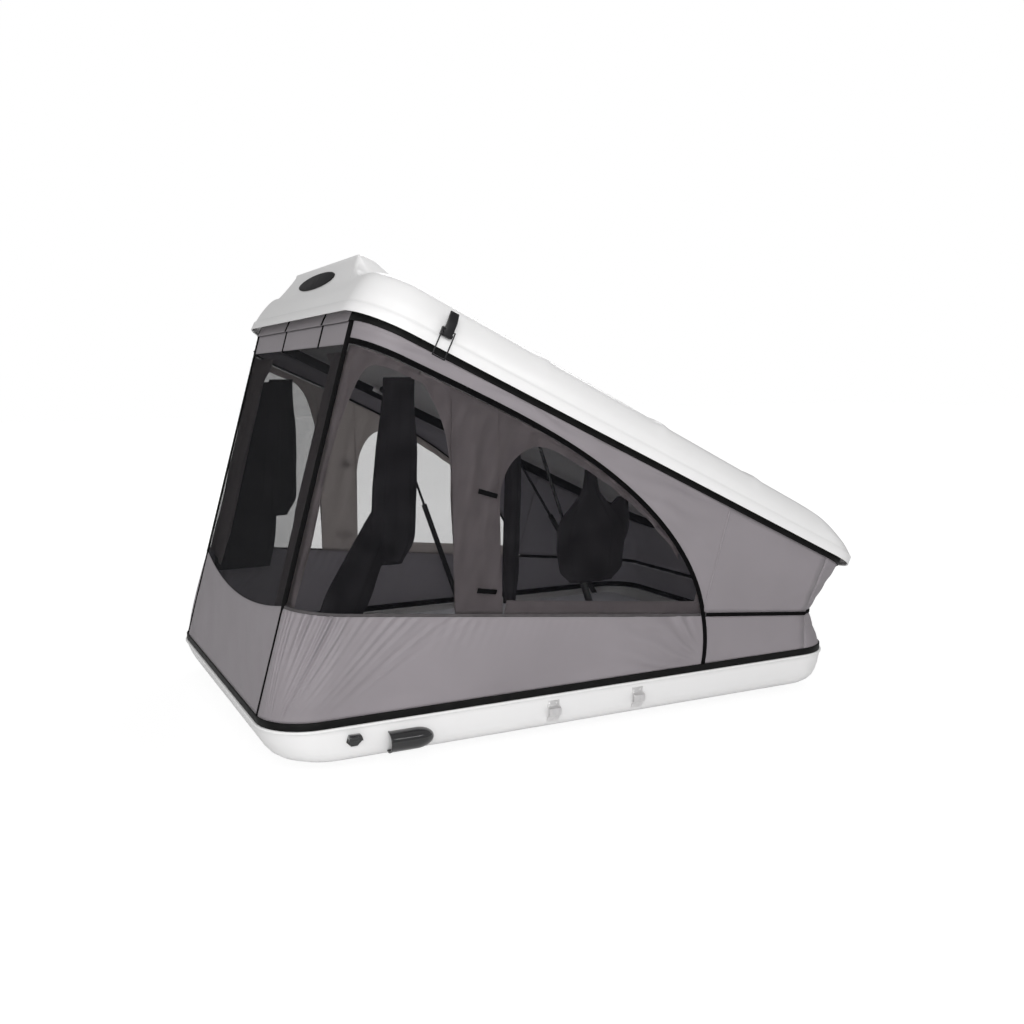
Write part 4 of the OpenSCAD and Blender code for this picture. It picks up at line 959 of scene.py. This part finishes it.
inner_ends += [((place_at(x), corner_low(x)), (place_at(x), zip_t(place_at(x)) - INNER_DROP)) for x in corner_runs]
for x in upright_xs:
    s, low = zip_at(x), upright_low(x)
    inner_ends.append(((side_at(x, low), low), (s, max(low + INNER_DROP, zip_t(s) - INNER_DROP))))
band_start, band_side = side_at(WINDOW_LEFT_X, seam(2)), ZIP_CROSS - BAND_W / SIDE_RUN
band_ends = [((s, seam(s)), (s, seam(s) + BAND_H / rise(s))) for s in steps(band_start, band_side - 0.0005, 60)]
band_ends += [((s, seam(s)), (s, max(seam(s) + 0.004, zip_t(s) - INNER_DROP)))
              for s in steps(band_side, ZIP_CROSS - 0.004, 14)]

inner_cloth = material("brown_grey_inner_cloth", (0.18, 0.156, 0.17), 0.9)
# Its colour drifts to a lighter tone in streaks that run down the cloth: painted light on the creases of its folds.
tone_drift(inner_cloth, (0.28, 0.244, 0.264), 22.0, "UV", (1.6, 0.7, 1.0))
let_light_through(inner_cloth, (0.84, 0.80, 0.78), 0.6)
weave(inner_cloth, 0.0012, 0.2, 0.0003)
grain(inner_cloth, 24.0, 0.9, 0.012, 5.0, "UV", stretch=(1.5, 0.8, 1.0))
for side in ("right", "left"):
    for part, ends, rows, depth in (("cloth", inner_ends, 40, inner_depth), ("band", band_ends, 10, band_depth)):
        panel(side + "_inner_" + part, ends, rows, None, inner_cloth, side + "_inner_wall",
              side == "left", depth, INNER_T)

# Webbing, zips and piping
# Woven tapes sewn over the cloth's joints: black strips on the rear corners, the door
# zips with their coil, straps over the rear header, two tabs a side and the piping,
# a grey binding on the side seams and a flat canvas seam above the zip's foot.
TAPE_T, ZIP_HALF_W, BINDING_LOW, BINDING_HIGH, SEAM_HALF_W = 0.0012, 0.008, -0.004, 0.005, 0.004
STRIP_NARROW, SIDE_LAP, REAR_LAP = 0.36, STRIP_END - 0.965, 1.008 - STRIP_START
STRAP_PLACES, STRAP_HALF, STRAP_OUT = (-0.26, 0.52), 0.007 / END_RUN, 0.0016
TAB_PLACES, TAB_HALF_L, TAB_HALF_H = ((2.207, 0.676), (2.247, 0.366)), 0.032, 0.007
FLAT_TAPE = ((0, 0.0004), (0.06, 0.0016), (0.3, 0.0022), (0.5, 0.0024), (0.7, 0.0022), (0.94, 0.0016), (1, 0.0004))
ROUND_TAPE = ((0, 0.0002), (0.12, 0.0026), (0.3, 0.0042), (0.5, 0.0048), (0.7, 0.0042), (0.88, 0.0026), (1, 0.0002))
ZIP_TAPE = ((0, 0.0012), (0.05, 0.0022), (0.36, 0.0024), (0.42, 0.0042), (0.5, 0.0050), (0.58, 0.0042),
            (0.64, 0.0024), (0.95, 0.0022), (1, 0.0012))
webbing = material("black_webbing", (0.002, 0.002, 0.0022), 0.8, {"Specular IOR Level": 0.06})
tone_drift(webbing, (0.0045, 0.0045, 0.0048), 60.0)
weave(webbing, 0.002, 0.4, 0.0006, "Object")
binding = material("dark_grey_binding", (0.05, 0.046, 0.048), 0.8)
tone_drift(binding, (0.075, 0.069, 0.072), 40.0)
weave(binding, 0.002, 0.4, 0.0005, "Object")


def tape(name, ends, section=FLAT_TAPE, finish=webbing, left=False):
    """A tape over columns of [s, t] ends. section gives its height over the cloth at shares across it."""
    verts = []
    for low, high in ends:
        for f, height in section:
            s, t = low[0] + (high[0] - low[0]) * f, max(0.0, low[1] + (high[1] - low[1]) * f)
            x, y, z = wall(s, t, -height)
            verts.append((x, -y if left else y, z))
    piece = mesh_piece(name, verts, grid_faces(len(ends), len(section), left), finish, 60.0)
    thicken(piece, TAPE_T)
    return piece


def strip_ends(t):
    """The two edges of a corner strip, which is a narrow piping below the seam."""
    wide = STRIP_NARROW + (1 - STRIP_NARROW) * ease(t, seam(1) - 0.015, seam(1) + 0.015)
    return ((1 + SIDE_LAP * wide, t), (1 - REAR_LAP * wide, t))


def zip_edge(k, side):
    p, after, before = zip_line[k], zip_line[min(k + 1, len(zip_line) - 1)], zip_line[max(k - 1, 0)]
    scale = (CORNER_RUN if p[0] < 2 else SIDE_RUN, rise(p[0]))
    along = Vector(((after[0] - before[0]) * scale[0], (after[1] - before[1]) * scale[1])).normalized()
    off = Vector((-along[1], along[0])) * ZIP_HALF_W * side
    return (p[0] + off[0] / scale[0], p[1] + off[1] / scale[1])


def strap_top(s):
    """The end of a strap, over the cloth that wraps the seal."""
    verts = [seal_face(e, v, STRAP_OUT) for v in SEAL_ROWS for e in (s + STRAP_HALF, s - STRAP_HALF)]
    piece = mesh_piece("strap_top", verts, grid_faces(len(SEAL_ROWS), 2), webbing)
    thicken(piece, TAPE_T)
    return piece


def tab(s, t, left):
    half, tall = TAB_HALF_L / SIDE_RUN, TAB_HALF_H / rise(s)
    return tape("tab", [((e, t - tall), (e, t + tall)) for e in steps(s - half, s + half, 8)], left=left)


strips = [tape("corner_strip", [strip_ends(t) for t in steps(0, 1, 90)], left=left) for left in (False, True)]
fix_cloth(joined(strips, "corner_webbing"), "corner_strips")

zip_ends = [(zip_edge(k, -1), zip_edge(k, 1)) for k in range(len(zip_line))]
binding_ends = [((s, seam(s) + BINDING_LOW / rise(s)), (s, seam(s) + BINDING_HIGH / rise(s)))
                for s in steps(STRIP_END, ZIP_CROSS - 0.006, 160)]
half = SEAM_HALF_W / SIDE_RUN
seam_ends = [((ZIP_CROSS + half, t), (ZIP_CROSS - half, t)) for t in steps(seam(ZIP_CROSS) + 0.02, 0.998, 24)]
for part, ends, section, finish, node, slot in (
        ("_zip_tape", zip_ends, ZIP_TAPE, webbing, "_zip", "webbing"),
        ("_seam_binding", binding_ends, FLAT_TAPE, binding, "_skirt", "canvas"),
        ("_front_seam", seam_ends, FLAT_TAPE, canvas, "_header", "canvas")):
    for side in ("right", "left"):
        fix_cloth(tape(side + part, ends, section, finish, side == "left"), side + node)

straps = [tape("strap", [((s + STRAP_HALF, t), (s - STRAP_HALF, t)) for t in steps(REAR_HEAD - 0.004, 0.998, 10)])
          for s in STRAP_PLACES] + [strap_top(s) for s in STRAP_PLACES]
fix_cloth(joined(straps, "header_straps"), "rear_header_straps")

tabs = [tab(s, t, left) for left in (False, True) for s, t in TAB_PLACES]
fix_cloth(joined(tabs, "net_tabs"), "side_tabs")

for side in ("right", "left"):
    ends = [piping_edges(s) for s, t in front_half if s > ZIP_CROSS + 0.005]
    fix_cloth(tape("front_piping_" + side, ends, ROUND_TAPE, left=side == "left"), "front_piping")
fix_cloth(tape("front_piping_end", [piping_edges(s) for s in corner_places], ROUND_TAPE), "front_piping")

# Drapes
# The dark cloth covers of the doors and the near window, gathered and hung up inside
# them. The far door's cover hangs on to the rear corner, and the near window's has a
# bag, a roll beside it and a tail over it.
DRAPE_T, DRAPE_ROWS, DRAPE_COLUMNS = 0.0012, 60, 126
drape_cloth = material("dark_drape_cloth", (0.008, 0.0073, 0.0085), 0.92, {"Specular IOR Level": 0.06})
tone_drift(drape_cloth, (0.024, 0.0225, 0.025), 12.0)
weave(drape_cloth, 0.0012, 0.2, 0.0003)


def gathered(name, top, low, wide, folds, flat, left, seed):
    """A tube of cloth in folds, from its gathered top to its swelling foot. Its ends are over the rim."""
    widths = [row[0] for row in through([(w,) for w in wide], DRAPE_ROWS // (len(wide) - 1))]
    levels, around, verts, faces = len(widths) - 1, DRAPE_COLUMNS, [], []
    for k, r in enumerate(widths):
        f = k / levels
        c = [a + (b - a) * f for a, b in zip(top, low)]
        for j in range(around):
            a = 2 * math.pi * j / around
            shift = 1.2 * noise.noise(Vector((math.cos(a), math.sin(a) + 2 * f, seed)))
            wave = 1 + 0.13 * math.cos(folds * a + shift + 0.5 * math.sin(math.pi * f))
            wave += 0.05 * noise.noise(Vector((3 * math.cos(a), 3 * math.sin(a) + 5 * f, seed)))
            y = c[1] + flat * r * wave * math.sin(a)
            verts.append((c[0] + r * wave * math.cos(a), -y if left else y, RIM_Z + c[2]))
            if k < levels:
                n = (j + 1) % around
                quad = (k * around + j, (k + 1) * around + j, (k + 1) * around + n, k * around + n)
                faces.append(quad[::-1] if left else quad)
    return mesh_piece(name, verts, faces, drape_cloth)


def fix_drape(pieces, side, opening):
    piece = joined(pieces, side + opening + "_cover")
    area = lay_flat(piece, [(p.co.x + p.co.y, p.co.z) for p in piece.data.vertices])
    thicken(piece, DRAPE_T)
    fix_cloth(piece, side + opening + "_drape")


for side in ("right", "left"):
    left = side == "left"
    main = gathered("drape_main", (-0.590, -0.656, 0.958), (-0.620, -0.640, 0.432),
                    (0.042, 0.044, 0.048, 0.054, 0.058, 0.060, 0.060, 0.062, 0.057, 0.030), 7, 0.3, left, 21.0)
    if left:
        rest = gathered("drape_curtain", (-0.650, -0.612, 0.948), (-0.772, -0.634, 0.237),
                        (0.036, 0.046, 0.056, 0.066, 0.076, 0.086, 0.096, 0.102, 0.096), 9, 0.08, left, 24.0)
    else:
        rest = gathered("drape_fold", (-0.610, -0.640, 0.638), (-0.810, -0.640, 0.232),
                        (0.028, 0.040, 0.048, 0.054, 0.060, 0.064, 0.060, 0.048), 5, 0.3, left, 23.0)
    fix_drape([main, rest], side, "_door")
pouch = gathered("window_pouch", (0.020, -0.6645, 0.675), (0.030, -0.650, 0.325),
                 (0.018, 0.022, 0.030, 0.056, 0.084, 0.100, 0.106, 0.106, 0.102, 0.096, 0.066), 6, 0.14, False, 25.0)
roll = gathered("window_roll", (-0.235, -0.657, 0.752), (-0.255, -0.655, 0.287),
                (0.018, 0.023, 0.024, 0.024, 0.024, 0.023, 0.018), 4, 0.5, False, 27.0)
tail = gathered("window_tail", (0.146, -0.648, 0.584), (0.030, -0.650, 0.400),
                (0.020, 0.036, 0.056, 0.072, 0.082, 0.082, 0.060), 5, 0.16, False, 26.0)
fix_drape([pouch, roll, tail], "right", "_window")
